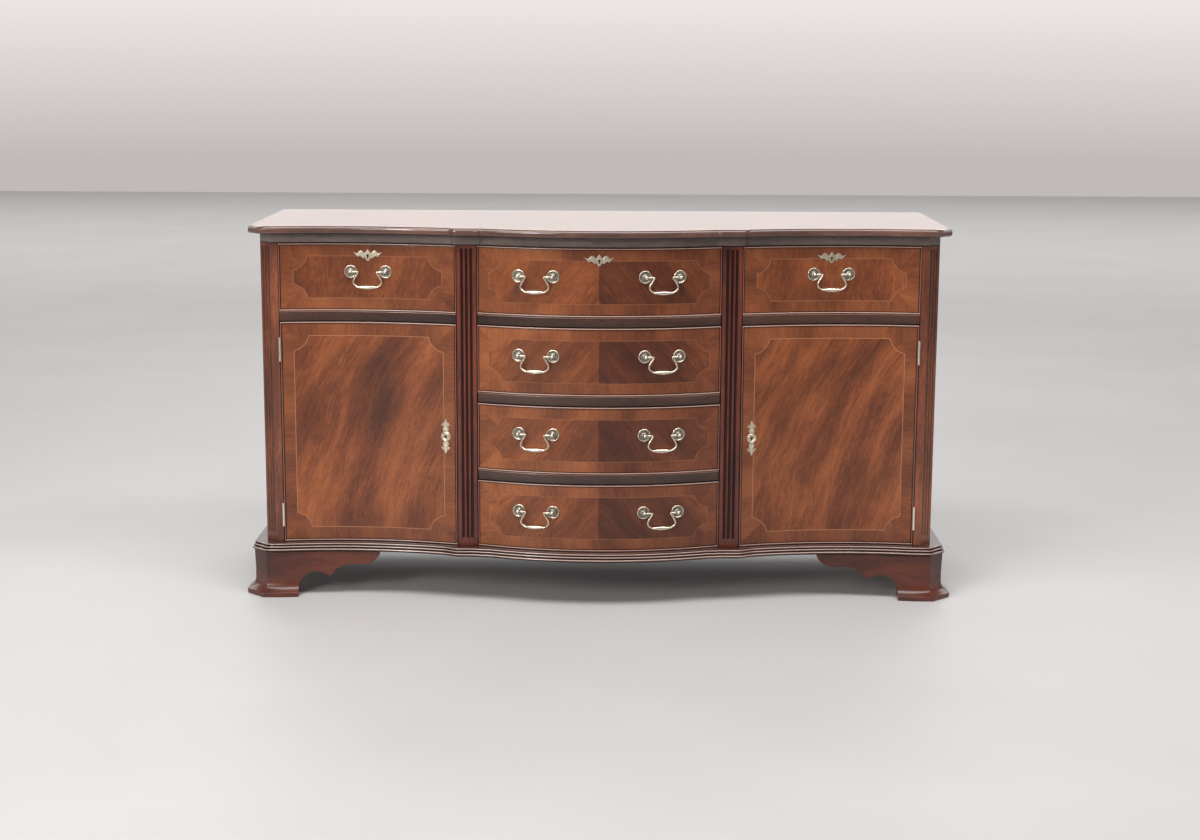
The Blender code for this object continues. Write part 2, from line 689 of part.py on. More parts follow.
def make_back_foot(label, side):
    """A shaped side wing, like the front one's, with a short straight brace across the back."""
    half = CASE_HALF + BASE_PROJECTION - FOOT_INSET
    back = CASE_BACK
    wing_end = back - BACK_TOE - SIDE_BRACKET[-1][0]
    brace_end = half - BACK_TOE - BACK_BRACKET[-1][0]
    rings = []
    for height, flare in FOOT_PROFILE:
        ring = [(half + flare, wing_end), (half + flare, back), (brace_end, back),
                (brace_end, back - FOOT_THICKNESS),
                (half - FOOT_THICKNESS, back - FOOT_THICKNESS), (half - FOOT_THICKNESS, wing_end)]
        ring = [(side * x, y, height) for x, y in ring]
        rings.append(ring if side > 0 else ring[::-1])
    foot = lofted("foot_back_" + label, rings)
    upright = Matrix.Rotation(math.pi / 2, 4, "X")
    sideways = Matrix.Rotation(math.pi / 2, 4, "Z") @ upright
    wing = [(back - run, height)
            for run, height in bracket_outline(BACK_TOE, SIDE_BRACKET, FOOT_THICKNESS)]
    place = Matrix.Translation((side * half, 0, 0)) @ sideways
    cut(foot, flat_board("foot_back_side_cut_" + label, wing, 3 * FOOT_THICKNESS, place))
    brace = [(side * (half - run), height)
             for run, height in bracket_outline(BACK_TOE, BACK_BRACKET, FOOT_THICKNESS)]
    place = Matrix.Translation((0, back - FOOT_THICKNESS / 2, 0)) @ upright
    cut(foot, flat_board("foot_back_brace_cut_" + label, brace, 2 * FOOT_THICKNESS, place))
    add_part(foot, "mahogany")


# Locks.

def drawer_bolt_room(name, x, bottom, top):
    """A pocket for a drawer's lock bolt, a clearance wider than the bolt."""
    half = BOLT_WIDTH / 2 + BOLT_GAP
    depth = BOLT_THICKNESS / 2 + BOLT_GAP
    y = front_y(x) + BOLT_INSET
    return box(name, (x - half, y - depth, bottom), (x + half, y + depth, top))


def door_bolt_room(name, side, start, end):
    """A pocket for a door's lock bolt, between two distances beyond the pilaster's face."""
    low, high = sorted((side * (OPENING_INNER + start), side * (OPENING_INNER + end)))
    half = BOLT_WIDTH / 2 + BOLT_GAP
    depth = BOLT_THICKNESS / 2 + BOLT_GAP
    y = front_y(OPENING_INNER + DOOR_GAP) + BOLT_INSET
    return box(name, (low, y - depth, DOOR_LOCK_HEIGHT - half),
               (high, y + depth, DOOR_LOCK_HEIGHT + half))


def make_drawer_bolt(label, x, front_top, parent):
    top = front_top - BOLT_SETBACK
    y = front_y(x) + BOLT_INSET
    name = "lock_bolt_drawer_" + label
    bolt = box(name, (x - BOLT_WIDTH / 2, y - BOLT_THICKNESS / 2, top - BOLT_LENGTH),
               (x + BOLT_WIDTH / 2, y + BOLT_THICKNESS / 2, top))
    carrier = add_carrier(name, Matrix.Translation((x, y, top)), parent)
    add_part(bolt, "lock_steel", carrier)


def make_door_bolt(label, side, parent):
    edge = OPENING_INNER + DOOR_GAP + BOLT_SETBACK
    y = front_y(OPENING_INNER + DOOR_GAP) + BOLT_INSET
    low, high = sorted((side * edge, side * (edge + BOLT_LENGTH)))
    name = "lock_bolt_door_" + label
    bolt = box(name, (low, y - BOLT_THICKNESS / 2, DOOR_LOCK_HEIGHT - BOLT_WIDTH / 2),
               (high, y + BOLT_THICKNESS / 2, DOOR_LOCK_HEIGHT + BOLT_WIDTH / 2))
    carrier = add_carrier(name, Matrix.Translation((side * edge, y, DOOR_LOCK_HEIGHT)), parent)
    add_part(bolt, "lock_steel", carrier)


# Handles.

def handle_place(x, front_top):
    """The handle's own frame: X along its axis, Y into the drawer front, Z up."""
    angle = front_angle(x)
    ahead = Vector((math.sin(angle), -math.cos(angle), 0)) * POST_REACH
    spot = Vector((x, front_y(x), front_top - HANDLE_BELOW_TOP)) + ahead
    return Matrix.Translation(spot) @ Matrix.Rotation(angle, 4, "Z")


def add_posts(front, place):
    """Two turned posts joined to a drawer front, each bored from the inside for the bail."""
    reach = POST_REACH + POST_ROOT
    corner = HEAD_RADIUS * math.sqrt(0.5)
    profile = ((0, HEAD_RADIUS), (corner, corner), (HEAD_RADIUS, 0), (corner, -corner),
               (POST_RADIUS, -HEAD_RADIUS), (POST_FLARE, -POST_REACH), (POST_FLARE, -reach),
               (0, -reach))
    for hand in (-1, 1):
        tag = f"{front.name}_post_{'a' if hand < 0 else 'b'}_{len(front.modifiers)}"
        spot = place @ Matrix.Translation((hand * POST_SPACING / 2, 0, 0))
        post = turned(tag, profile, spot @ Matrix.Rotation(math.pi / 2, 4, "X"), POST_SIDES)
        join(front, post)
        mouth = Matrix.Translation((-hand * HEAD_RADIUS, 0, 0)) @ Matrix.Rotation(math.pi / 2, 4, "Y")
        bore = rod(tag + "_bore", ARM_RADIUS + BORE_CLEARANCE, 2 * HEAD_RADIUS, spot @ mouth,
                   POST_SIDES)
        cut(front, bore)


def bail_path():
    """Half the bail from its end in a post to the grip's middle, with each point's radius."""
    arm = (POST_SPACING / 2 - BORE_CLEARANCE, 0.0)
    elbow = (POST_SPACING / 2 - ARM_LENGTH, 0.0)
    corner = (BAIL_WIDEST, -BAIL_WIDEST_DROP)
    grip = (GRIP_HALF, -BAIL_DROP + GRIP_RADIUS - WIRE_RADIUS)
    path = [(arm, ARM_RADIUS), ((arm[0] - HEAD_RADIUS, 0.0), ARM_RADIUS)]
    path += [(point, WIRE_RADIUS) for point in rounded(path[-1][0], elbow, corner, 0.0035)]
    path += [(point, WIRE_RADIUS) for point in rounded(elbow, corner, grip, 0.0085)]
    path.append((grip, WIRE_RADIUS * 1.1))
    path.append(((GRIP_HALF * 0.5, -BAIL_DROP + 0.0006), GRIP_RADIUS * 0.86))
    return path


def rounded(before, corner, after, cut_back):
    """Points of a smooth turn at a corner, cut back the same distance on both sides."""
    before, corner, after = Vector(before), Vector(corner), Vector(after)
    start = corner + (before - corner).normalized() * cut_back
    end = corner + (after - corner).normalized() * cut_back
    points = []
    for i in range(BAIL_CORNER_STEPS + 1):
        t = i / BAIL_CORNER_STEPS
        points.append(tuple(start * (1 - t) ** 2 + corner * 2 * t * (1 - t) + end * t * t))
    return points


def make_bail(name, place, parent):
    """A swan-neck bail hanging in its two posts, on its hinge line."""
    half = bail_path()
    path = [((-x, z), radius) for (x, z), radius in half]
    path.append(((0.0, -BAIL_DROP), GRIP_RADIUS))
    path += reversed(half)
    curve_object = new_curve(name, "3D", [(x, 0.0, z) for (x, z), radius in path])
    curve = curve_object.data
    curve.bevel_depth = 1.0
    curve.bevel_resolution = 1
    curve.use_fill_caps = True
    for point, (spot, radius) in zip(curve.splines[0].points, path):
        point.radius = radius
    curve_object.matrix_world = place
    bail = mesh_from_curve(curve_object, name)
    bail.data.shade_smooth()
    add_part(bail, "aged_brass", add_carrier(name, place, parent))


# Drawers.

def make_drawer(label, opening, bottom, handles, locked):
    """A curved front with its posts, the box behind it, its bails and its lock bolt."""
    steps = BOW_STEPS if opening[0] < 0 < opening[1] else HOLLOW_STEPS
    ends = (opening[0] + FRONT_GAP, opening[1] - FRONT_GAP)
    low, high = bottom + FRONT_GAP, bottom + OPENING_HEIGHT - FRONT_GAP
    middle = (opening[0] + opening[1]) / 2
    carrier = add_carrier("drawer_" + label, Matrix.Translation((middle, front_y(middle), low)))

    outline = front_points(*ends, steps) + front_points(*ends, steps, FRONT_THICKNESS)[::-1]
    front = plan_board("drawer_front_" + label, outline, low, high)
    for x in handles:
        add_posts(front, handle_place(x, high))
    if locked:
        room = drawer_bolt_room("drawer_pocket_" + label, middle,
                                high - BOLT_LENGTH - BOLT_SETBACK - BOLT_GAP, high + FRONT_GAP)
        cut(front, room)
    add_part(front, "flame_mahogany", carrier)

    sides = (opening[0] + RUNNER_GAP, opening[1] - RUNNER_GAP)
    seat = front_points(*sides, steps, FRONT_THICKNESS + GAP)
    outline = seat + [(sides[1], BOX_BACK), (sides[0], BOX_BACK)]
    drawer_box = plan_board("drawer_box_" + label, outline, low, high + FRONT_GAP - BOX_HEADROOM)
    ahead = CASE_FRONT - PILASTER_ADVANCE - BOW_RISE
    room = box("drawer_room_" + label, (sides[0] + BOX_SIDE, ahead, low + BOX_BOTTOM),
               (sides[1] - BOX_SIDE, BOX_BACK - BOX_SIDE, high + BOX_HEADROOM))
    cut(drawer_box, room)
    add_part(drawer_box, "drawer_lining", carrier)

    for x, hand in zip(handles, ("left", "right")):
        name = "bail_" + label if len(handles) == 1 else f"bail_{label}_{hand}"
        make_bail(name, handle_place(x, high), carrier)
    if locked:
        make_drawer_bolt(label, middle, high, carrier)


def make_drawers():
    for label, side in SIDES.items():
        opening = sorted((side * OPENING_INNER, side * OPENING_OUTER))
        make_drawer(label, opening, TOP_ROW_BOTTOM, [side * OPENING_MIDDLE], True)
    for index in range(4):
        make_drawer(f"centre_{index + 1}", (-CENTRE_HALF, CENTRE_HALF),
                    TOP_ROW_BOTTOM - index * DRAWER_PITCH,
                    [-CENTRE_HANDLE_X, CENTRE_HANDLE_X], index == 0)


# Doors and hinges.

def leaf_plate(name, side, start, end, middle):
    """A hinge leaf's flat plate, lying in the gap between the door and the post."""
    low, high = sorted((side * start, side * end))
    half = HINGE_LENGTH / 2 - KNUCKLE_GAP / 2
    return box(name, (low, PIN_Y, middle - half), (high, CASE_FRONT + LEAF_DEPTH, middle + half))


def knuckle(name, side, low, high, radius=KNUCKLE_RADIUS):
    """A round piece of the hinge's barrel on the pin's line."""
    place = Matrix.Translation((side * PIN_X, PIN_Y, (low + high) / 2))
    return rod(name, radius, high - low, place)


def barrel_room(name, side, low, high):
    """What a leaf leaves free for the other leaf's knuckle."""
    reach = KNUCKLE_RADIUS + KNUCKLE_GAP
    return box(name, (side * PIN_X - reach, PIN_Y - reach, low),
               (side * PIN_X + reach, PIN_Y + reach, high))


def make_frame_leaf(label, level, side, middle):
    """The leaf on the corner post: the outer two knuckles and the pin through them."""
    name = f"hinge_frame_leaf_{label}_{level}"
    half, third = HINGE_LENGTH / 2, HINGE_LENGTH / 6
    near = PIN_X + LEAF_SPLIT / 2
    leaf = leaf_plate(name, side, near, near + LEAF_THICKNESS, middle)
    cut(leaf, barrel_room(name + "_room", side, middle - third, middle + third))
    join(leaf, knuckle(name + "_low", side, middle - half, middle - third - KNUCKLE_GAP / 2))
    join(leaf, knuckle(name + "_high", side, middle + third + KNUCKLE_GAP / 2, middle + half))
    pin_end = half - KNUCKLE_RADIUS
    join(leaf, knuckle(name + "_pin", side, middle - pin_end, middle + pin_end, PIN_RADIUS))
    add_part(leaf, "aged_brass")


def make_door_leaf(label, level, side, middle, carrier):
    """The leaf on the door: the middle knuckle, bored for the pin."""
    name = f"hinge_door_leaf_{label}_{level}"
    half, third = HINGE_LENGTH / 2, HINGE_LENGTH / 6
    near = PIN_X - LEAF_SPLIT / 2
    leaf = leaf_plate(name, side, near - LEAF_THICKNESS, near, middle)
    edge = third - KNUCKLE_GAP / 2
    cut(leaf, barrel_room(name + "_low_room", side, middle - half - GAP, middle - edge))
    cut(leaf, barrel_room(name + "_high_room", side, middle + edge, middle + half + GAP))
    join(leaf, knuckle(name + "_barrel", side, middle - edge + GAP, middle + edge - GAP))
    cut(leaf, knuckle(name + "_bore", side, middle - half, middle + half,
                      PIN_RADIUS + PIN_CLEARANCE))
    add_part(leaf, "aged_brass", carrier)


def make_doors():
    for label, side in SIDES.items():
        ends = sorted((side * (OPENING_INNER + DOOR_GAP), side * (OPENING_OUTER - DOOR_GAP)))
        low, high = BASE_TOP + FRONT_GAP, CUPBOARD_TOP - FRONT_GAP
        carrier = add_carrier("door_" + label, Matrix.Translation((side * PIN_X, PIN_Y, low)))
        outline = (front_points(*ends, HOLLOW_STEPS)
                   + front_points(*ends, HOLLOW_STEPS, FRONT_THICKNESS)[::-1])
        door = plan_board("door_" + label, outline, low, high)
        for level, height in hinge_heights().items():
            seat = leaf_seat(f"door_seat_{label}_{level}", side,
                             PIN_X - LEAF_SPLIT / 2 - LEAF_THICKNESS - GAP,
                             OPENING_OUTER, height)
            cut(door, seat)
            make_frame_leaf(label, level, side, height)
            make_door_leaf(label, level, side, height, carrier)
        cut(door, door_bolt_room("door_pocket_" + label, side, 0,
                                 DOOR_GAP + BOLT_SETBACK + BOLT_LENGTH + BOLT_GAP))
        add_part(door, "flame_mahogany", carrier)
        make_door_bolt(label, side, carrier)


def build():
    make_tops_and_base()
    make_sides_and_partitions()
    make_corner_posts()
    make_pilasters()
    make_rails_and_shelves()
    for label, side in SIDES.items():
        make_front_foot(label, side)
        make_back_foot(label, side)
    make_drawers()
    make_doors()


SIDES = {"left": -1, "right": 1}
TOP_ROW = {"left": -OPENING_MIDDLE, "centre": 0.0, "right": OPENING_MIDDLE}

empty_the_scene()
PARTS = new_collection("sideboard")
TOOLS = new_collection("cutters")
MATERIALS = make_materials("sideboard_")
build()
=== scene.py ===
# %% [markdown]
# A serpentine sideboard, dressed for display
#
# The frame of this lesson is a finished cabinet: boards, drawers, doors, hinges and lock
# bolts, all in their places and free to move. What follows gives it its surface. Curved
# boards are made again with a smooth face, brass is cast finely, and every wood gets its own
# grain. Nothing is moved or resized, so each new piece takes its place from the frame.

# %% Load the frame
import json
import math

import bmesh
import bpy
from mathutils import Matrix, Vector

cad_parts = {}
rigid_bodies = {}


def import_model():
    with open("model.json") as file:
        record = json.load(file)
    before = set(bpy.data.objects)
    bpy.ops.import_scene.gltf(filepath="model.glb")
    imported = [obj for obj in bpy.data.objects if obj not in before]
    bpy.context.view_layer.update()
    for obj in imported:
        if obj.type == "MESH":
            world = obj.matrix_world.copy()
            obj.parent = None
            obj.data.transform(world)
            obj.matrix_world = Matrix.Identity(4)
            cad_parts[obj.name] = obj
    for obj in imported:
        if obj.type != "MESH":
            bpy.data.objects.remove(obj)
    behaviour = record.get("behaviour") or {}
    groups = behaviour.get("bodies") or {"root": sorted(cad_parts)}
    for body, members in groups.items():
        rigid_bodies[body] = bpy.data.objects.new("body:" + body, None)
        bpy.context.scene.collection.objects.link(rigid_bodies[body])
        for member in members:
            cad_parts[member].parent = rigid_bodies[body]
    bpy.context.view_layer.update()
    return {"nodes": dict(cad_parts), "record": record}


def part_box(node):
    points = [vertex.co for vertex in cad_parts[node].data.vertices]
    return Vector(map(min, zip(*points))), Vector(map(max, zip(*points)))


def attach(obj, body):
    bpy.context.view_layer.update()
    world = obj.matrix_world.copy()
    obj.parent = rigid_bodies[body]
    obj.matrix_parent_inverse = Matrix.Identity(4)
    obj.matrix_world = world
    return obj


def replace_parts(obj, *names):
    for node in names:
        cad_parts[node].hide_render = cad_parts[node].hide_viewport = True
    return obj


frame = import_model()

# %% [markdown]
# The plan of the front
#
# Seen from above, the front is a chain of arcs. It runs straight over each corner post, hollows
# across the cupboards, stands forward at the pilasters and bows out over the middle drawers.
# One function gives that line, and every curved board is made straight and then bent to it, as
# a joiner draws one template and cuts every rail to the same line.

# %% The front's line, measured from the frame
SIDE_HOLLOW = 0.025
PILASTER_PROUD = 0.004
JOINT = 0.0004
post_low, post_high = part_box("corner_post_right")
pilaster_low, pilaster_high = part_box("pilaster_right")
sub_top_low, sub_top_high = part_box("sub_top")
CASE_FRONT = post_low[1]
CASE_BACK = sub_top_high[1]
CASE_HALF = post_high[0]
OPENING_OUTER = post_low[0]
OPENING_INNER = pilaster_high[0] + JOINT
CENTRE_HALF = pilaster_low[0] - JOINT
PILASTER_ADVANCE = CASE_FRONT - pilaster_low[1] - PILASTER_PROUD
BOW_RISE = CASE_FRONT - PILASTER_ADVANCE - sub_top_low[1]
PILASTER_MIDDLE = (CENTRE_HALF + OPENING_INNER) / 2
DOOR_MIDDLE = (OPENING_INNER + OPENING_OUTER) / 2


def arc_height(x, start, end, sagitta):
    """Height at x of an arc that rises sagitta above the chord from start to end."""
    start, end = Vector(start), Vector(end)
    chord = end - start
    radius = (chord.length_squared / 4 + sagitta ** 2) / (2 * abs(sagitta))
    up = Vector((-chord.y, chord.x)).normalized()
    side = math.copysign(1, sagitta)
    centre = (start + end) / 2 + up * (sagitta - side * radius)
    return centre.y + side * math.sqrt(max(radius ** 2 - (x - centre.x) ** 2, 0))


def advance(x):
    """How far the front at x stands ahead of the corner posts."""
    x = abs(x)
    if x >= OPENING_OUTER:
        return 0.0
    if x > OPENING_INNER:
        return arc_height(x, (OPENING_INNER, PILASTER_ADVANCE), (OPENING_OUTER, 0), -SIDE_HOLLOW)
    if x > CENTRE_HALF:
        return PILASTER_ADVANCE
    return arc_height(x, (-CENTRE_HALF, PILASTER_ADVANCE), (CENTRE_HALF, PILASTER_ADVANCE),
                      BOW_RISE)


def front_y(x):
    return CASE_FRONT - advance(x)


def front_place(x, z):
    """A place on the front: X along its tangent, Y into the wood, Z up."""
    reach = 0.001
    slope = math.atan2(front_y(x + reach) - front_y(x - reach), 2 * reach)
    return Matrix.Translation((x, front_y(x), z)) @ Matrix.Rotation(slope, 4, "Z")


print("advance at the middle, pilaster and door:",
      [round(advance(x), 4) for x in (0, PILASTER_MIDDLE, DOOR_MIDDLE)])

# %% [markdown]
# The woods: one grain for all
#
# Mahogany shows three things at once: a broad figure of dark and light flames, streaks along
# the grain, and short fine pores. A node group lays them over each other and every wood uses
# it with its own colours, so that the boards look cut from related trees. The grain runs along
# the pattern's Z. Two numbers bend it: Lean tips it sideways, and Sweep makes it lean more the
# higher it goes, which is how a flame opens from the crotch of a tree.


# %% The node group for figured wood
class Tree:
    """Short words for placing and linking nodes in one tree."""

    def __init__(self, tree):
        self.tree = tree
        self.count = 0

    def node(self, kind, **settings):
        made = self.tree.nodes.new(kind)
        made.location = (220 * (self.count // 6), -190 * (self.count % 6))
        self.count += 1
        for key, value in settings.items():
            setattr(made, key, value)
        return made

    def put(self, socket, value):
        """Link a socket to another, or set its plain value."""
        if isinstance(value, bpy.types.NodeSocket):
            self.tree.links.new(value, socket)
        else:
            socket.default_value = value

    def feed(self, sockets, values):
        """Link or set several sockets, each by its name or number."""
        for key, value in values.items():
            self.put(sockets[key], value)

    def placed(self, kind, values, output=0, **settings):
        """A node with its first sockets fed, and one of its outputs."""
        made = self.node(kind, **settings)
        self.feed(made.inputs, dict(enumerate(values)))
        return made.outputs[output]

    def group(self, tree, values):
        made = self.node("ShaderNodeGroup", node_tree=tree)
        self.feed(made.inputs, values)
        return made.outputs

    def place(self):
        return self.node("ShaderNodeTexCoord").outputs["Object"]

    def math(self, operation, *values, clamp=False):
        return self.placed("ShaderNodeMath", values, operation=operation, use_clamp=clamp)

    def less(self, first, second):
        return self.math("SUBTRACT", first, second)

    def times(self, first, second):
        return self.math("MULTIPLY", first, second)

    def vector(self, operation, *values, output=0):
        return self.placed("ShaderNodeVectorMath", values, output, operation=operation)

    def noise(self, vector, scale, detail=2.0, roughness=0.5, output=0):
        made = self.node("ShaderNodeTexNoise")
        self.feed(made.inputs, {"Vector": vector, "Scale": scale, "Detail": detail,
                                "Roughness": roughness})
        return made.outputs[output]

    def remap(self, value, low, high, to_low=0.0, to_high=1.0):
        return self.placed("ShaderNodeMapRange", (value, low, high, to_low, to_high), clamp=True)

    def mix(self, factor, first, second, blend="MIX"):
        made = self.node("ShaderNodeMix", data_type="RGBA", blend_type=blend)
        self.feed(made.inputs, {0: factor, 6: first, 7: second})
        return made.outputs[2]

    def split(self, vector):
        made = self.node("ShaderNodeSeparateXYZ")
        self.put(made.inputs[0], vector)
        return made.outputs

    def join(self, *sides):
        return self.placed("ShaderNodeCombineXYZ", sides)


def new_group(name, inputs, outputs):
    """A node group whose sockets are vectors (None), colours (four numbers) or numbers."""
    group = bpy.data.node_groups.new(name, "ShaderNodeTree")
    for label, value in inputs.items():
        kind = "Vector" if value is None else "Color" if isinstance(value, tuple) else "Float"
        socket = group.interface.new_socket(name=label, in_out="INPUT",
                                            socket_type="NodeSocket" + kind)
        if value is not None:
            socket.default_value = value
    for label in outputs:
        kind = "Color" if label == "Color" else "Float"
        group.interface.new_socket(name=label, in_out="OUTPUT", socket_type="NodeSocket" + kind)
    t = Tree(group)
    return group, t, t.node("NodeGroupInput").outputs, t.node("NodeGroupOutput").inputs


# Scale across, into and along the grain, then the noise's detail and roughness
GRAIN_LAYERS = {"broad": ((11, 3, 3.8), 2.0, 0.5), "streak": ((105, 14, 13), 3.0, 0.6),
                "fleck": ((230, 60, 38), 2.0, 0.6), "fine": ((560, 90, 80), 2.0, 0.6),
                "cross": ((22, 4, 46), 2.0, 0.5)}
PORE_SCALE = (900, 300, 90)
WANDER_SCALE = 4.0
WANDER_REACH = (0.07, 0.03, 0.08)
SEED_STRIDE = 3.17


def make_wood_group():
    group, t, given, out = new_group(
        "figured_wood",
        {"Vector": None, "Seed": 0.0, "Light": (0.30, 0.12, 0.06, 1),
         "Middle": (0.16, 0.06, 0.03, 1), "Dark": (0.05, 0.02, 0.015, 1), "Figure": 1.0,
         "Streak": 1.0, "Mottle": 0.3, "Lean": 0.0, "Sweep": 0.0},
        ("Color", "Roughness", "Height"))
    x, y, z = t.split(given["Vector"])
    bent = t.less(x, t.times(z, given["Lean"]))
    bent = t.less(bent, t.times(t.times(z, z), given["Sweep"]))
    shift = t.times(given["Seed"], SEED_STRIDE)
    place = t.join(t.math("ADD", bent, shift), t.math("ADD", y, given["Seed"]), z)
    wander = t.vector("SUBTRACT", t.noise(place, WANDER_SCALE, output=1), (0.5, 0.5, 0.5))
    grain = t.vector("ADD", place, t.vector("MULTIPLY", wander, WANDER_REACH))
    layer = {name: t.noise(t.vector("MULTIPLY", grain, scale), 1.0, detail, roughness)
             for name, (scale, detail, roughness) in GRAIN_LAYERS.items()}
    tone = 0.5
    for name, share, weight in (("broad", given["Figure"], 1.9), ("streak", given["Streak"], 0.60),
                                ("fleck", 1.0, 0.50), ("fine", 1.0, 0.60),
                                ("cross", given["Mottle"], 1.0)):
        tone = t.math("MULTIPLY_ADD", t.times(t.less(layer[name], 0.5), share), weight, tone)
    lower = t.mix(t.remap(tone, 0.05, 0.52), given["Dark"], given["Middle"])
    color = t.mix(t.remap(tone, 0.48, 0.95), lower, given["Light"])
    pore = t.noise(t.vector("MULTIPLY", place, PORE_SCALE), 1.0, 1.0, 0.5)
    mask = t.remap(pore, 0.36, 0.30)
    t.feed(out, {"Color": t.mix(t.times(mask, 0.35), color, given["Dark"]),
                 "Roughness": t.remap(layer["streak"], 0.2, 0.8, 0.36, 0.26),
                 "Height": t.less(layer["fine"], t.times(mask, 0.6))})
    return group


WOOD = make_wood_group()
print("wood group sockets:", [s.name for s in WOOD.interface.items_tree])

# %% [markdown]
# Banding and stringing
#
# Each front is framed the same way. A band of cross-cut veneer runs round the edge with its
# grain square to the edge, and inside it lies a thin string of pale boxwood whose corners bite
# inwards in shallow arcs. The shape is a rectangle less a disc beyond each corner, so one small
# sum of distances gives the string, the field inside it and the band outside it.


# %% The node group for banded fronts
DISC_BEYOND = 0.25
INLAY_SIZES = {"Half Width": 0.2, "Half Height": 0.05, "Side Inset": 0.033, "Level Inset": 0.030,
               "Corner": 0.034}
STRING_WIDTH = 0.0013
EDGE_BLUR = 0.0004


def make_inlay_group():
    group, t, given, out = new_group("banded_inlay", {"Vector": None, **INLAY_SIZES},
                                     ("Field", "String", "End Band"))
    x, _, z = t.split(given["Vector"])
    dx = t.less(t.math("ABSOLUTE", x), t.less(given["Half Width"], given["Side Inset"]))
    dz = t.less(t.math("ABSOLUTE", z), t.less(given["Half Height"], given["Level Inset"]))
    beyond = t.times(given["Corner"], DISC_BEYOND)
    from_disc = t.join(t.less(dx, beyond), t.less(dz, beyond), 0.0)
    radius = t.times(given["Corner"], math.hypot(1 + DISC_BEYOND, DISC_BEYOND))
    bite = t.less(radius, t.vector("LENGTH", from_disc, output=1))
    outside = t.math("MAXIMUM", t.math("MAXIMUM", dx, dz), bite)
    from_string = t.less(t.math("ABSOLUTE", outside), STRING_WIDTH / 2)
    t.feed(out, {"Field": t.remap(outside, 0.0, -EDGE_BLUR),
                 "String": t.remap(from_string, 0.0003, -0.0001),
                 "End Band": t.math("GREATER_THAN", dx, dz)})
    return group


INLAY = make_inlay_group()
print("inlay group sockets:", [s.name for s in INLAY.interface.items_tree])

# %% [markdown]
# A polished surface
#
# Every wood is finished alike: stain, then a clear polish rubbed to a soft gloss. In the
# material the polish is the coat, and the grain sits under it with a faint relief. Two painted
# attributes tell a shared group where to lay painted shade, in grooves, gaps and under edges,
# where it also thins the coat, and where to lay a pale painted highlight on crests and edges.


# %% The node group for painted shade and highlights
def make_shade_and_highlight_group():
    group, t, given, out = new_group(
        "painted_shade_and_highlight",
        {"Color": (0.8, 0.8, 0.8, 1), "Hollow": 0.0, "Highlight": 0.0, "Shade Tint": (0.007, 0.003, 0.003, 1),
         "Highlight Tint": (0.40, 0.20, 0.14, 1)},
        ("Color", "Coat"))
    # Painted highlight lifts the colour towards a pale tint on crests, and painted shade darkens it and
    # thins the coat in hollows.
    uneven = t.remap(t.noise(t.place(), 140.0, 3.0, 0.6), 0.3, 0.7, 0.75, 1.0)
    rubbed = t.mix(t.times(given["Highlight"], uneven), given["Color"], given["Highlight Tint"])
    hollow = t.remap(given["Hollow"], 0.1, 0.9, 0.0, 0.94)
    t.feed(out, {"Color": t.mix(hollow, rubbed, given["Shade Tint"]),
                 "Coat": t.less(1.0, t.times(hollow, 0.8))})
    return group


PAINTED_SHADE_AND_HIGHLIGHT = make_shade_and_highlight_group()
print("polish group sockets:", [s.name for s in PAINTED_SHADE_AND_HIGHLIGHT.interface.items_tree])

# %% [markdown]
# Woods for each member
#
# A joiner doesn't use one plank for everything. Straight, quiet wood goes to posts, rails and
# feet, the dearer figured leaves go to the fronts, and plain boards are hidden inside. The
# grain also follows the member: up a post, along a rail, back through a drawer side. Each
# finish here is a set of three colours, light, middle and dark, and a direction.


# %% Materials of plain woods
def new_material(name):
    """A material, its tree, and the sockets of its shader."""
    material = bpy.data.materials.new(name)
    material.use_nodes = True
    return material, Tree(material.node_tree), material.node_tree.nodes["Principled BSDF"].inputs


def relief(t, height, strength, depth):
    bump = t.node("ShaderNodeBump")
    t.feed(bump.inputs, {"Strength": strength, "Distance": depth, "Height": height})
    return bump.outputs[0]


def polish(t, shader, color, wood, coat, coat_roughness):
    """A clear coat over a colour, with the roughness and the relief of a wood."""
    t.feed(shader, {"Base Color": color, "Roughness": wood["Roughness"], "Coat Weight": coat,
                    "Coat Roughness": coat_roughness, "Specular IOR Level": 0.25,
                    "Normal": relief(t, wood["Height"], 0.6, 0.00003)})


def grain_node(t, vector, colors, seed, figure=1.0, mottle=0.3, lean=0.0, sweep=0.0, streak=1.0):
    light, middle, dark = ((*color, 1) for color in colors)
    return t.group(WOOD, {"Vector": vector, "Seed": seed, "Light": light, "Middle": middle,
                          "Dark": dark, "Figure": figure, "Streak": streak, "Mottle": mottle,
                          "Lean": lean, "Sweep": sweep})


def mapped(t, location=(0, 0, 0), rotation=(0, 0, 0)):
    """Object coordinates, centred or turned for this piece."""
    mapping = t.node("ShaderNodeMapping", vector_type="TEXTURE")
    t.feed(mapping.inputs, {"Vector": t.place(), "Location": location, "Rotation": rotation})
    return mapping.outputs[0]


GRAIN_UP = (0, 0, 0)
GRAIN_ACROSS = (0, math.pi / 2, 0)
GRAIN_BACK = (math.pi / 2, 0, 0)

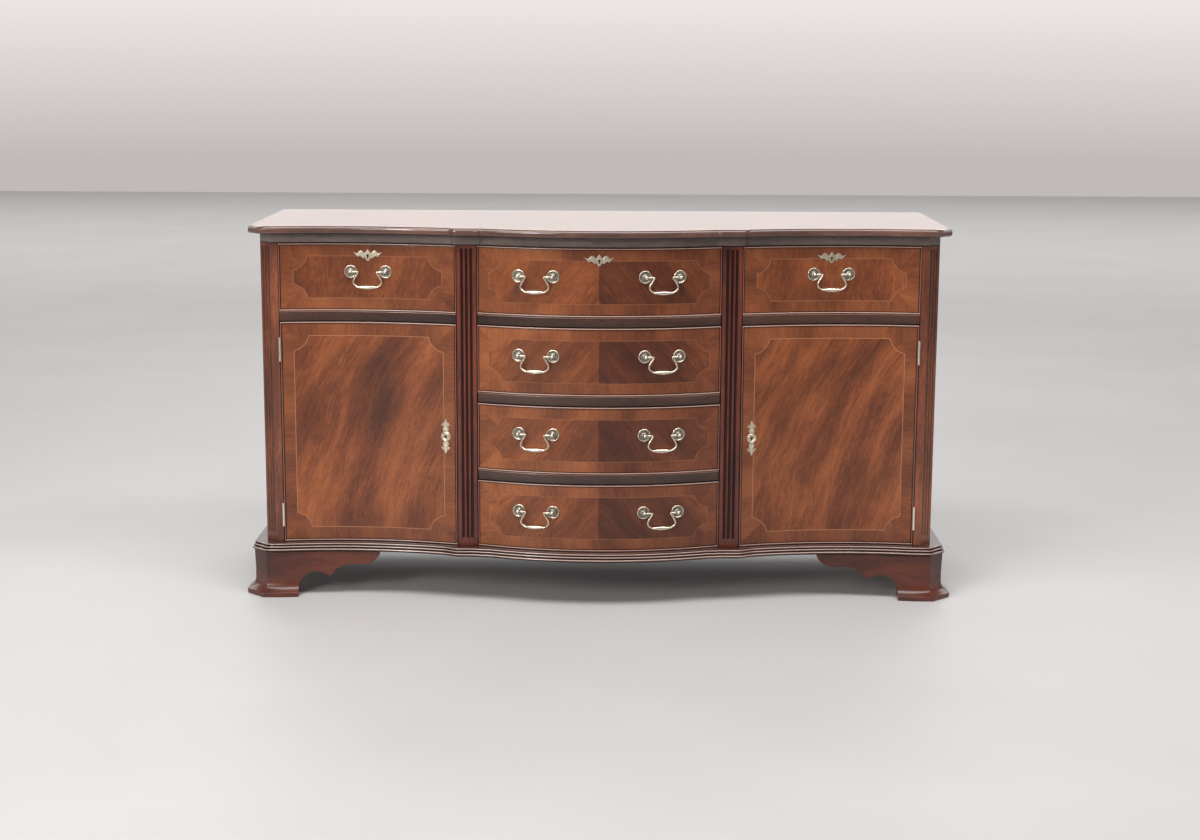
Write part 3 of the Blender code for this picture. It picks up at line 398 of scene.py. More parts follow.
FRONT_WOOD = ((0.340, 0.104, 0.034), (0.175, 0.048, 0.018), (0.066, 0.021, 0.011))
BAND_WOOD = ((0.290, 0.094, 0.034), (0.190, 0.055, 0.021), (0.090, 0.027, 0.013))
POST_WOOD = ((0.300, 0.094, 0.040), (0.160, 0.046, 0.023), (0.060, 0.019, 0.012))
SOLID_WOOD = ((0.170, 0.044, 0.022), (0.098, 0.026, 0.015), (0.034, 0.010, 0.008))
PILASTER_WOOD = ((0.190, 0.042, 0.022), (0.115, 0.026, 0.015), (0.042, 0.010, 0.008))
BEAD_WOOD = ((0.230, 0.075, 0.040), (0.160, 0.048, 0.027), (0.080, 0.024, 0.016))
RAIL_WOOD = ((0.092, 0.040, 0.027), (0.052, 0.023, 0.016), (0.020, 0.010, 0.008))
# The frieze's greyed colours are mahogany with a painted sheen, the room reflected in its polish.
FRIEZE_WOOD_AND_SHEEN = ((0.210, 0.160, 0.145), (0.135, 0.100, 0.090), (0.062, 0.046, 0.042))
FOOT_WOOD = ((0.135, 0.033, 0.016), (0.075, 0.019, 0.011), (0.026, 0.008, 0.006))
REED_WOOD = ((0.070, 0.020, 0.013), (0.040, 0.012, 0.009), (0.018, 0.007, 0.005))
LINING_WOOD = ((0.60, 0.42, 0.25), (0.46, 0.30, 0.17), (0.30, 0.18, 0.10))
BOARD_WOOD = ((0.32, 0.19, 0.11), (0.21, 0.12, 0.07), (0.12, 0.065, 0.04))
BOXWOOD = (0.40, 0.18, 0.09, 1)


def attribute(t, name):
    return t.node("ShaderNodeAttribute", attribute_name=name).outputs["Fac"]


def with_painted_shade_and_highlight(t, color, rubbed=(0.40, 0.20, 0.14)):
    """A colour with painted shade in its hollows and a painted highlight on its crests, and the coat's
    share that is left.
    """
    return t.group(PAINTED_SHADE_AND_HIGHLIGHT, {"Color": color, "Hollow": attribute(t, "hollow"),
                                "Highlight": attribute(t, "highlight"), "Highlight Tint": (*rubbed, 1)})


def plain_wood(name, colors, turn, seed, coat=0.5, coat_roughness=0.14, figure=0.7, mottle=0.15,
               **highlight):
    """A finish of one wood under its polish, with the painted shade and painted highlight its piece
    carries.
    """
    material, t, shader = new_material(name)
    grain = grain_node(t, mapped(t, rotation=turn), colors, seed, figure, mottle)
    toned = with_painted_shade_and_highlight(t, grain["Color"], **highlight)
    polish(t, shader, toned["Color"], grain, t.times(toned["Coat"], coat), coat_roughness)
    return material


POST_FINISH = plain_wood("post_mahogany", POST_WOOD, GRAIN_UP, 1.3)
PILASTER_FINISH = plain_wood("pilaster_mahogany", PILASTER_WOOD, GRAIN_UP, 4.7)
SIDE_FINISH = plain_wood("side_veneer", SOLID_WOOD, GRAIN_UP, 7.9, figure=1.0, mottle=0.3)
RAIL_FINISH = plain_wood("rail_mahogany", RAIL_WOOD, GRAIN_ACROSS, 2.7, coat=0.8, coat_roughness=0.12)
FRIEZE_FINISH = plain_wood("frieze_mahogany", FRIEZE_WOOD_AND_SHEEN, GRAIN_ACROSS, 3.9, coat=0.9,
                           coat_roughness=0.12)
# The reeded moulding and the cock beads carry a pale painted highlight on their crests.
MOULD_FINISH = plain_wood("moulding_mahogany", REED_WOOD, GRAIN_ACROSS, 4.1, coat=1.0,
                          coat_roughness=0.08, rubbed=(0.62, 0.41, 0.34))
FOOT_FINISH = plain_wood("foot_mahogany", FOOT_WOOD, GRAIN_ACROSS, 5.6, figure=0.9)
BEAD_FINISH = plain_wood("bead_mahogany", BEAD_WOOD, GRAIN_ACROSS, 9.2, coat=1.0,
                         rubbed=(0.56, 0.37, 0.30))
CORE_FINISH = plain_wood("front_board_mahogany", SOLID_WOOD, GRAIN_ACROSS, 8.3, coat=0.2)
LINING_FINISH = plain_wood("drawer_lining", LINING_WOOD, GRAIN_BACK, 3.4, 0.15, 0.35, 0.5)
BOARD_FINISH = plain_wood("carcase_board", BOARD_WOOD, GRAIN_UP, 6.2, 0.0, 0.5, 0.5)
print("finishes of plain wood:", len(bpy.data.materials))

# %% [markdown]
# Fronts that match
#
# The veneers on the two halves of a bowed drawer are a pair of leaves opened like a book, so
# their figures mirror each other at the middle. Turned over, one leaf throws the light another
# way and looks darker, and here that is painted shade on the right leaf and its band, while the
# left side is lightened with painted light. The cupboards carry one large flame each. The
# pattern is centred on its own front with a Mapping node, and a mirrored leaf is the distance
# from the middle.


# %% The node group for a veneered front
# Painted shade for the right-hand leaf and band of a booked front, and painted light for its left side.
RIGHT_LEAF_SHADE = (0.50, 0.49, 0.60, 1)
RIGHT_BAND_SHADE = (0.80, 0.78, 0.84, 1)
LEFT_SIDE_LIGHT = (1.25, 1.28, 1.15, 1)
FIELD_SETTINGS = ("Seed", "Figure", "Mottle", "Lean", "Sweep", "Streak")
BAND_SEED_SHIFTS = (2.2, 4.4)


def make_front_group():
    numbers = dict.fromkeys((*FIELD_SETTINGS, "String", "Booked"), 0.0)
    group, t, given, out = new_group("veneered_front", {"Vector": None, **INLAY_SIZES, **numbers},
                                     ("Color", "Roughness", "Height"))
    lines = t.group(INLAY, {name: given[name] for name in ("Vector", *INLAY_SIZES)})
    x, y, z = t.split(given["Vector"])
    mirrored = t.times(t.math("ABSOLUTE", x), -1.0)
    leaf = t.join(t.remap(given["Booked"], 0.0, 1.0, x, mirrored), y, z)
    field = grain_node(t, leaf, FRONT_WOOD, *(given[name] for name in FIELD_SETTINGS))
    upright, level = (
        grain_node(t, place, BAND_WOOD, t.math("ADD", given["Seed"], shift), 0.8, 0.1, streak=0.7)
        for place, shift in zip((given["Vector"], t.join(z, y, x)), BAND_SEED_SHIFTS))
    band = t.mix(lines["End Band"], upright["Color"], level["Color"])
    # Painted shade on the right leaf, fading towards its far end, painted shade on the right band, and
    # painted light over the left side.
    turned = t.times(t.remap(x, -EDGE_BLUR, EDGE_BLUR), t.remap(x, 0.08, 0.26, 1.0, 0.45))
    shares = (turned, t.remap(x, -0.02, 0.02), t.remap(x, -0.02, -0.22))
    dark, right_band_shade, light = (t.times(share, given["Booked"]) for share in shares)
    color = t.mix(lines["Field"], t.mix(right_band_shade, band, RIGHT_BAND_SHADE, "MULTIPLY"),
                  t.mix(dark, field["Color"], RIGHT_LEAF_SHADE, "MULTIPLY"))
    color = t.mix(light, color, LEFT_SIDE_LIGHT, "MULTIPLY")
    t.feed(out, {"Color": t.mix(t.times(lines["String"], given["String"]), color, BOXWOOD),
                 "Roughness": field["Roughness"], "Height": field["Height"]})
    return group


VENEERED_FRONT = make_front_group()
print("front group sockets:", [s.name for s in VENEERED_FRONT.interface.items_tree])

# %% [markdown]
# One material for each front
#
# No two fronts are cut from the same leaf, so each has its own material. It only gives the
# group the size of its front, where its middle lies, and how its own leaf leans and opens.


# %% Materials of the banded fronts
def banded_front(name, box, inlay, seed, lean, sweep=0.0, booked=False, figure=1.0, mottle=0.3,
                 streak=1.0, string=0.7):
    """inlay is the side inset, the level inset and the corner's radius of the string."""
    material, t, shader = new_material(name)
    (x0, z0), (x1, z1) = box
    values = {"Vector": mapped(t, location=((x0 + x1) / 2, 0, (z0 + z1) / 2)),
              "String": string, "Booked": float(booked)}
    values |= zip(INLAY_SIZES, ((x1 - x0) / 2, (z1 - z0) / 2, *inlay))
    values |= zip(FIELD_SETTINGS, (seed, figure, mottle, lean, sweep, streak))
    veneer = t.group(VENEERED_FRONT, values)
    polish(t, shader, veneer["Color"], veneer, 0.35, 0.12)
    return material


# %% [markdown]
# Brass that has aged
#
# The handles are cast brass that has gone silvery where hands rub it and grey-green in its
# hollows, which the cleaner's cloth never reaches. The painted attribute named hollow says
# where. On each handle post it also lays painted shade along the stem under the ball, and the
# arms of each bail are a little darker. Brass and steel age the same way, so one group gives the
# colour, the gloss, the metal's share and the fine pitting, and each metal puts in its own bright
# and dull colours.


# %% The node group for aged metal and painted shade
def make_metal_group():
    group, t, given, out = new_group(
        "aged_and_shaded_metal", {"Bright": (0.8, 0.7, 0.5, 1), "Dull": (0.1, 0.1, 0.08, 1), "Hollow": 0.0,
                       "Gloss": 0.24},
        ("Color", "Roughness", "Metallic", "Height"))
    place = t.place()
    cloud = t.remap(t.noise(place, 260.0, 3.0, 0.6), 0.48, 0.75, 0.0, 0.45)
    patina_and_shade = t.math("MULTIPLY_ADD", given["Hollow"], 0.85, cloud, clamp=True)
    t.feed(out, {"Color": t.mix(patina_and_shade, given["Bright"], given["Dull"]),
                 "Roughness": t.math("MULTIPLY_ADD", patina_and_shade, 0.22, given["Gloss"]),
                 "Metallic": t.remap(patina_and_shade, 0.0, 1.0, 1.0, 0.8),
                 "Height": t.noise(place, 900.0, 2.0, 0.6)})
    return group


AGED_AND_SHADED_METAL = make_metal_group()
print("metal group sockets:", [s.name for s in AGED_AND_SHADED_METAL.interface.items_tree])

# %% [markdown]
# Three brasses, a steel and a shadow
#
# The handles are the most silvery, the keyhole plates are yellower, the hinges are plain rolled
# brass and the locks are steel. Inside a keyhole there is only shade, so it gets a dark, dull
# and slightly dusty surface.


# %% Brass, steel and the dark of a keyhole
def metal(name, bright, dull, gloss=0.24):
    material, t, shader = new_material(name)
    toned = t.group(AGED_AND_SHADED_METAL, {"Bright": (*bright, 1), "Dull": (*dull, 1), "Gloss": gloss,
                                "Hollow": attribute(t, "hollow")})
    t.feed(shader, {"Base Color": toned["Color"], "Roughness": toned["Roughness"],
                    "Metallic": toned["Metallic"], "Normal": relief(t, toned["Height"], 0.35, 0.00012)})
    return material


HANDLE_BRASS = metal("antique_brass", (0.78, 0.69, 0.56), (0.085, 0.083, 0.066))
PLATE_BRASS = metal("plate_brass", (0.95, 0.83, 0.64), (0.13, 0.09, 0.05), 0.26)
HINGE_BRASS = metal("hinge_brass", (0.86, 0.80, 0.68), (0.34, 0.29, 0.20), 0.28)
LOCK_STEEL = metal("lock_steel", (0.52, 0.51, 0.49), (0.16, 0.15, 0.14), 0.34)


def make_cloud_group():
    group, t, given, out = new_group(
        "dull_cloud", {"First": (0.5, 0.5, 0.5, 1), "Second": (0.6, 0.6, 0.6, 1), "Scale": 1.0,
                       "Detail": 2.0}, ("Color",))
    cloud = t.remap(t.noise(t.place(), given["Scale"], given["Detail"]), 0.3, 0.7)
    t.feed(out, {"Color": t.mix(cloud, given["First"], given["Second"])})
    return group


DULL_CLOUD = make_cloud_group()


def clouded(name, scale, detail, first, second, roughness):
    """A dull surface that drifts between two near colours."""
    material, t, shader = new_material(name)
    cloud = t.group(DULL_CLOUD, {"Scale": scale, "Detail": detail, "First": (*first, 1),
                                 "Second": (*second, 1)})
    t.feed(shader, {"Base Color": cloud["Color"], "Roughness": roughness})
    return material


KEYHOLE = clouded("keyhole_shadow", 700.0, 2.0, (0.004, 0.003, 0.003), (0.012, 0.009, 0.007), 0.85)
print("materials so far:", len(bpy.data.materials))

# %% [markdown]
# Making a straight board and bending it
#
# A curved board starts as a plain one. A cube gets its real size, its edges are eased with a
# small bevel, planes slice it into short lengths, and then each slice slides forward to the
# front's line. The slices are close enough for the polish to run smoothly round the bow.


# %% Helpers for boards
SLICE = 0.0125
WELD = 0.000001
NEAR = 0.00001


def bevel(bm, edges, offset, segments):
    bmesh.ops.bevel(bm, geom=edges, offset=offset, offset_type="OFFSET", segments=segments,
                    profile=0.5, affect="EDGES", material=-1, clamp_overlap=True)


def board(low, high, ease=0.0006, segments=2):
    """A straight board between two corners, with its edges eased."""
    bm = bmesh.new()
    size = [b - a for a, b in zip(low, high)]
    middle = [(a + b) / 2 for a, b in zip(low, high)]
    bmesh.ops.create_cube(bm, size=1.0, matrix=Matrix.Translation(middle) @ Matrix.Diagonal((*size, 1)))
    if ease:
        bevel(bm, bm.edges[:], ease, segments)
    return bm


def slice_at(bm, place, normal):
    bmesh.ops.bisect_plane(bm, geom=bm.verts[:] + bm.edges[:] + bm.faces[:], dist=WELD,
                           plane_co=place, plane_no=normal)


def slice_across(bm, start, end, marks=()):
    count = max(1, round((end - start) / SLICE))
    stations = {start + (end - start) * i / count for i in range(1, count)} | set(marks)
    for x in sorted(stations):
        slice_at(bm, (x, 0, 0), (1, 0, 0))


def bend(bm, behind=None, forward=None):
    """Slide each point forward to the front's line. Points at or behind a depth stay."""
    for vert in bm.verts:
        if behind is None or vert.co.y < behind:
            extra = forward(vert.co.x) if forward else 0.0
            vert.co.y -= advance(vert.co.x) + extra


def linked(name, data):
    """An object of that data in the scene."""
    made = bpy.data.objects.new(name, data)
    bpy.context.scene.collection.objects.link(made)
    return made


def mesh_of(bm, name):
    mesh = bpy.data.meshes.new(name)
    bm.to_mesh(mesh)
    bm.free()
    return mesh


def finished(bm, name, body, finish, sharp=32):
    """The bmesh as a shaded piece that rides on a body of the frame."""
    mesh = mesh_of(bm, name)
    mesh.shade_smooth()
    mesh.set_sharp_from_angle(angle=math.radians(sharp))
    mesh.materials.append(finish)
    piece = linked(name, mesh)
    flat = piece.modifiers.new("flat faces stay flat", "WEIGHTED_NORMAL")
    flat.keep_sharp = True
    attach(piece, body)
    return piece


def paint(bm, name, amount):
    """Give each point its share, from 0 to 1, of an attribute that the finish reads."""
    layer = bm.verts.layers.float.get(name) or bm.verts.layers.float.new(name)
    for vert in bm.verts:
        vert[layer] = min(max(amount(vert.co), 0), 1)


def move(bm, matrix):
    """Carry the whole bmesh to its place."""
    bmesh.ops.transform(bm, matrix=matrix, verts=bm.verts)


def merged(parts):
    """Several bmeshes as one."""
    whole = bmesh.new()
    for part in parts:
        spare = mesh_of(part, "spare")
        whole.from_mesh(spare)
        bpy.data.meshes.remove(spare)
    return whole


def cut(bm, low, high):
    """The bmesh less a box, by a Boolean that is applied at once."""
    spares = [linked("spare", mesh_of(source, "spare")) for source in (bm, board(low, high, ease=0))]
    pocket = spares[0].modifiers.new("pocket", "BOOLEAN")
    pocket.object = spares[1]
    result = bmesh.new()
    result.from_object(spares[0], bpy.context.evaluated_depsgraph_get())
    for spare in spares:
        mesh = spare.data
        bpy.data.objects.remove(spare)
        bpy.data.meshes.remove(mesh)
    return result


print("slices across one door:", round((OPENING_OUTER - OPENING_INNER) / SLICE))

# %% [markdown]
# The top and its moulded edge
#
# The top is one thick board with canted front corners and a thumb mould along its front and
# ends. It steps forward a little over each pilaster. The corners are cut first, then the upper
# and lower edges are rounded with two bevels of different sizes, and last the front is bent.
# The back edge stays straight, to stand against a wall.


# %% The top board
TOP_CANT = 0.034
TOP_OVERHANG = 0.028
TOP_ROUND, UNDER_ROUND = 0.0085, 0.0050
TOP_BAND = 0.047
TOP_BLOCK_SLOPE = 0.011
BLOCK_OUT = 0.007
BLOCK_REACH = OPENING_INNER - PILASTER_MIDDLE + 0.003
SLOPE_STEPS = 6
# The top's edge is mahogany greyed a little, partly its own tone and partly a painted reflection of the
# room along the moulding.
EDGE_WOOD_AND_SHEEN = ((0.180, 0.085, 0.064), (0.105, 0.050, 0.038), (0.045, 0.022, 0.018))


def block_out(slope):
    """How far a moulded board steps forward at x, round a pilaster."""
    def forward(x):
        t = min(max(1 - (abs(abs(x) - PILASTER_MIDDLE) - BLOCK_REACH) / slope, 0), 1)
        return BLOCK_OUT * t * t * (3 - 2 * t)
    return forward


def block_marks(slope):
    """Where the slopes of the steps need slices of their own."""
    return [side * (PILASTER_MIDDLE + way * (BLOCK_REACH + slope * i / SLOPE_STEPS))
            for side in (-1, 1) for way in (-1, 1) for i in range(SLOPE_STEPS + 1)]


def edge_at(edge, axis, value):
    return all(abs(vert.co[axis] - value) < NEAR for vert in edge.verts)


def canted_board(low, high, cant):
    bm = board(low, high, ease=0)
    upright = [e for e in bm.edges if not edge_at(e, 2, e.verts[0].co.z) and edge_at(e, 1, low[1])]
    bevel(bm, upright, cant, 1)
    return bm


def follow_plan(bm, low, high, cant, slope):
    """Slice a canted board and bend it, so that it steps forward over the pilasters."""
    slice_across(bm, low[0] + cant, high[0] - cant, marks=block_marks(slope))
    bend(bm, behind=low[1] + 2 * cant, forward=block_out(slope))
    return bm


def moulded_slab(low, high, cant, top_round, bottom_round, segments, slope):
    """A board with canted front corners and rounded front and ends, bent to the front."""
    bm = canted_board(low, high, cant)
    for level, offset in ((high[2], top_round), (low[2], bottom_round)):
        rim = [e for e in bm.edges if edge_at(e, 2, level) and not edge_at(e, 1, high[1])]
        bevel(bm, rim, offset, segments)
    return follow_plan(bm, low, high, cant, slope)


top_low, top_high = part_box("top_board")
top_front = CASE_FRONT - TOP_OVERHANG
slab = moulded_slab((top_low[0], top_front, top_low[2]), tuple(top_high), TOP_CANT, TOP_ROUND,
                    UNDER_ROUND, 5, TOP_BLOCK_SLOPE)
# Painted shade: a dark line along the underside's rounding, where the top overhangs the frieze.
paint(slab, "hollow", lambda co: 1.2 - (co.z - top_low[2]) / 0.0026)


def top_material():
    """A banded and strung top of matched flames, under the deepest polish."""
    material, t, shader = new_material("polished_top_veneer")
    place = mapped(t, location=(0, (top_front + top_high[1]) / 2, 0))
    x, y, z = t.split(place)
    aside, away = t.math("ABSOLUTE", x), t.math("ABSOLUTE", y)
    leaf = t.join(t.less(aside, PILASTER_MIDDLE * 1.55), z, y)
    field = grain_node(t, leaf, FRONT_WOOD, 11.3, 0.7, 0.25, 0.35, -0.4, 0.8)
    at_end = t.less(aside, top_high[0] - TOP_BAND)
    at_front = t.less(away, (top_high[1] - top_front) / 2 - TOP_BAND)
    outside = t.math("MAXIMUM", at_end, at_front)
    cross_end = grain_node(t, t.join(y, z, x), BAND_WOOD, 13.1, 0.8, 0.1)
    cross_front = grain_node(t, t.join(x, z, y), BAND_WOOD, 14.7, 0.8, 0.1)
    band = t.mix(t.math("GREATER_THAN", at_end, at_front), cross_front["Color"], cross_end["Color"])
    color = t.mix(t.remap(outside, 0.0, -EDGE_BLUR), band, field["Color"])
    string = t.remap(t.math("ABSOLUTE", outside), 0.0010, 0.0006)
    color = t.mix(t.times(string, 0.85), color, BOXWOOD)
    edge_wood = grain_node(t, t.join(z, y, x), EDGE_WOOD_AND_SHEEN, 17.9, 0.7, 0.1)
    color = t.mix(t.remap(z, top_high[2] - 0.0004, top_high[2] - 0.0010), color, edge_wood["Color"])
    toned = with_painted_shade_and_highlight(t, color)
    polish(t, shader, toned["Color"], field, toned["Coat"], 0.06)
    return material


top_board = finished(slab, "top_board_polished", "carcase", top_material(), 40)
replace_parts(top_board, "top_board")
print("top board faces:", len(top_board.data.polygons))

# %% [markdown]
# The reeded base
#
# Three reeds run round the foot of the case, each a little shorter than the one below, so the
# base spreads as it goes down. Each reed is a slab of its own with a half-round edge, which is
# also how a run of reeds is cut: one cutter, set back a step at a time.

# %% The base board
base_low, base_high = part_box("base_board")
REED_HEIGHTS = (0.0075, 0.0065, 0.0060)
REED_STEP = 0.0026
REED_CREST, CREST_WIDTH = 0.76, 0.14
BASE_CANT = 0.036
BASE_BLOCK_SLOPE = 0.032
base_projection = base_high[0] - CASE_HALF
reeds = []
height = base_low[2]
for index, reed in enumerate(REED_HEIGHTS):
    inward = index * REED_STEP
    slab = moulded_slab((base_low[0] + inward, CASE_FRONT - base_projection + inward, height),
                        (base_high[0] - inward, CASE_BACK, height + reed), BASE_CANT,
                        reed * 0.46, reed * 0.46, 3, BASE_BLOCK_SLOPE)
    # Each reed gets a pale painted highlight along its crest and painted shade lower down, towards the
    # groove beneath it.
    paint(slab, "highlight", lambda co: 1 - abs((co.z - height) / reed - REED_CREST) / CREST_WIDTH)
    paint(slab, "hollow", lambda co: 1.3 - (co.z - height) / reed / 0.45)
    reeds.append(slab)
    height += reed
base_board = finished(merged(reeds), "base_board_reeded", "carcase", MOULD_FINISH, 50)
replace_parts(base_board, "base_board")
print("base top at", round(height, 4), "and frame says", round(base_high[2], 4))

# %% [markdown]
# Frieze and rails
#
# Between the drawers run dark rails, faced to the same curve as the drawers. Behind each one a
# thin dust panel closes the space. The frieze under the top is one more rail, deeper because it
# is the front edge of the board that carries the top. Three mortises in it take the bolts of
# the drawer locks. Painted shade darkens the lower edges of the frieze and rails, and a painted
# highlight runs along the upper edge of each rail.


# %% The frieze and the rails
POST_CANT = 0.030
FRIEZE_DARK_LINES = (0.0014, 0.0022)


def plan_slab(low, high, cant):
    """A square-edged board with canted front corners, bent to the front."""
    bm = canted_board(low, high, cant)
    for line in FRIEZE_DARK_LINES:
        slice_at(bm, (0, 0, low[2] + line), (0, 0, 1))
    return follow_plan(bm, low, high, cant, TOP_BLOCK_SLOPE)


BOLT_ROOM = 0.0005
MORTISE_DEPTH = 0.0080
sub_top = plan_slab((-CASE_HALF, CASE_FRONT, sub_top_low[2]), tuple(sub_top_high), POST_CANT)
for lock in ("left", "centre_1", "right"):
    low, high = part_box("lock_bolt_drawer_" + lock)
    sub_top = cut(sub_top, (low[0] - BOLT_ROOM, low[1] - BOLT_ROOM, high[2]),
                  (high[0] + BOLT_ROOM, high[1] + BOLT_ROOM, sub_top_low[2] + MORTISE_DEPTH))
# Painted shade: a dark line along the frieze's lower edge, over the gap above the drawers.
paint(sub_top, "hollow", lambda co: co.z < sub_top_low[2] + sum(FRIEZE_DARK_LINES) / 2)
frieze = finished(sub_top, "frieze_and_sub_top", "carcase", FRIEZE_FINISH, 40)
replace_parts(frieze, "sub_top")

RAIL_DEPTH = 0.040
RAIL_ROUND = 0.0024
DUST_PANEL = 0.008


def make_rail(node):
    low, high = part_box(node)
    if low[0] < 0 < high[0]:
        start, end = -CENTRE_HALF + JOINT, CENTRE_HALF - JOINT
    else:
        side = math.copysign(1, low[0])
        start, end = sorted((side * (OPENING_INNER + JOINT), side * (OPENING_OUTER - JOINT)))
    rail = board((start, CASE_FRONT, low[2]), (end, CASE_FRONT + RAIL_DEPTH, high[2]), RAIL_ROUND, 4)
    # A painted highlight along the rail's upper edge, and painted shade that darkens it towards the
    # bottom, darkest in a line at its lower edge.
    paint(rail, "highlight", lambda co: high[2] - 0.0022 < co.z < high[2] - 0.0004)
    paint(rail, "hollow", lambda co: 1.0 if co.z < low[2] + 0.0016 else 0.5 - 30 * (co.z - low[2]))
    slice_across(rail, start, end)
    bend(rail)
    panel = board((low[0], CASE_FRONT + RAIL_DEPTH, high[2] - DUST_PANEL), tuple(high), 0)
    piece = finished(merged([rail, panel]), node + "_faced", "carcase", RAIL_FINISH)
    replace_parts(piece, node)


RAILS = [name for name in frame["nodes"] if name.startswith("dust_board")]
for node in sorted(RAILS):
    make_rail(node)
print("rails:", len(RAILS))

# %% [markdown]
# Posts, pilasters and feet
#
# These are right as they stand in the frame: fluted uprights and ogee feet. They only lack a
# craftsman's eased edges. A copy of each mesh is welded, its flat faces are joined up again, and
# its sharp edges get a tiny bevel, so that each edge catches a line of light.


# %% Eased copies of the frame's own pieces
FLUTE_DEPTH = 0.0030
FLUTES_END = 0.005
FLAT_ANGLE = math.radians(0.5)
SHARP_ANGLE = 35


def eased_copy(node, body, slot, finish, ease, depth=None, dirt_and_shade=1.0):
    """A softened copy of a node. depth(co) tells how far a point lies behind the fluted face, and the
    flutes get painted shade that deepens with it.
    """
    bm = bmesh.new()
    bm.from_mesh(frame["nodes"][node].data)
    bmesh.ops.remove_doubles(bm, verts=bm.verts, dist=NEAR)
    bmesh.ops.dissolve_limit(bm, angle_limit=FLAT_ANGLE, verts=bm.verts, edges=bm.edges)
    sharp = [e for e in bm.edges if len(e.link_faces) == 2
             and e.calc_face_angle(0) > math.radians(SHARP_ANGLE)]
    bevel(bm, sharp, ease, 2)
    bmesh.ops.remove_doubles(bm, verts=bm.verts, dist=WELD)
    if depth:
        # Painted shade in the flutes, deeper where they go deeper.
        paint(bm, "hollow", lambda co: dirt_and_shade * depth(co) / FLUTE_DEPTH * (depth(co) < FLUTES_END))
    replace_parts(finished(bm, node + "_eased", body, finish, SHARP_ANGLE), node)


def behind_cant(co):
    return (co.y - CASE_FRONT - abs(co.x) + CASE_HALF - POST_CANT) * math.sqrt(0.5)


def behind_pilaster(co):
    return co.y - pilaster_low[1]


SOLID = ("carcase", "mahogany")
for side in ("left", "right"):
    for foot in ("foot_front_", "foot_back_"):
        eased_copy(foot + side, *SOLID, FOOT_FINISH, 0.0010)
    eased_copy("corner_post_" + side, *SOLID, POST_FINISH, 0.0003, behind_cant, 0.45)
    eased_copy("pilaster_" + side, *SOLID, PILASTER_FINISH, 0.0003, behind_pilaster)
    for level in ("lower", "upper"):
        for leaf, body in (("frame", "carcase"), ("door", "door_" + side)):
            eased_copy(f"hinge_{leaf}_leaf_{side}_{level}", body, "antique_brass", HINGE_BRASS, 0.0002)

KEPT_FINISHES = {"side_panel": SIDE_FINISH, "partition": BOARD_FINISH, "back_panel": BOARD_FINISH,
                 "shelf": BOARD_FINISH, "drawer_box": LINING_FINISH, "lock_bolt": LOCK_STEEL}
for node, piece in frame["nodes"].items():
    for start, finish in KEPT_FINISHES.items():
        if node.startswith(start):
            piece.data.materials.clear()
            piece.data.materials.append(finish)

# %% [markdown]
# Drawer fronts and doors
#
# Each front is a curved board with a cock bead round it: a thin strip let into the edge that
# stands a little proud and guards the veneer. The beads along the top and foot are bent with
# the front, and the two upright ones stand straight at its ends. A front that locks also has a
# pocket in its board, so that the bolt can slide.

# %% Banded fronts with cock beads
BEAD_WIDTH = 0.0030
BEAD_PROUD = 0.0018
BEAD_DEPTH = 0.0050
BEAD_GROOVE = 0.0015
VENEER_DEPTH = 0.0035
FRONT_THICKNESS = 0.020
FRONT_EASE = 0.0005


def curved_board(low, high):
    made = board(low, high, FRONT_EASE)
    slice_across(made, low[0], high[0])
    bend(made)
    return made


def bead_strip(low, high, highlight):
    """A half-round strip with a pale painted highlight on its crest and painted shade down both flanks.
    """
    strip = board(low, high, BEAD_WIDTH * 0.42, 3)
    crest = CASE_FRONT - BEAD_PROUD
    paint(strip, "highlight", lambda co: highlight if co.y < crest + 0.0003 else 0.0)
    paint(strip, "hollow", lambda co: co.y > crest + 0.0010)
    return strip


def cock_bead(x0, x1, z0, z1):
    ahead, back = CASE_FRONT - BEAD_PROUD, CASE_FRONT + BEAD_DEPTH
    half = BEAD_WIDTH / 2
    strips = []
    # The beads along the top and foot take a strong painted highlight, the upright ones a faint one.
    for low in (z0, z1 - BEAD_WIDTH):
        strips.append(bead_strip((x0, ahead, low), (x1, back, low + BEAD_WIDTH), 0.8))
        slice_across(strips[-1], x0, x1)
    for low in (x0, x1 - BEAD_WIDTH):
        strips.append(bead_strip((low, ahead, z0 + half), (low + BEAD_WIDTH, back, z1 - half), 0.15))
    for strip in strips:
        bend(strip)
    return merged(strips)


def bolt_pocket(node, body):
    """The room for a front's lock bolt, open at the edge the bolt leaves by."""
    low, high = (Vector(c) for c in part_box("lock_bolt_" + body))
    room = Vector((BOLT_ROOM, BOLT_ROOM, BOLT_ROOM))
    low, high = low - room, high + room
    axis = 0 if body.startswith("door") else 2
    if axis == 0 and low.x > 0:
        low.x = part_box(node)[0][0] - BOLT_ROOM
    else:
        high[axis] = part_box(node)[1][axis] + BOLT_ROOM
    return low, high


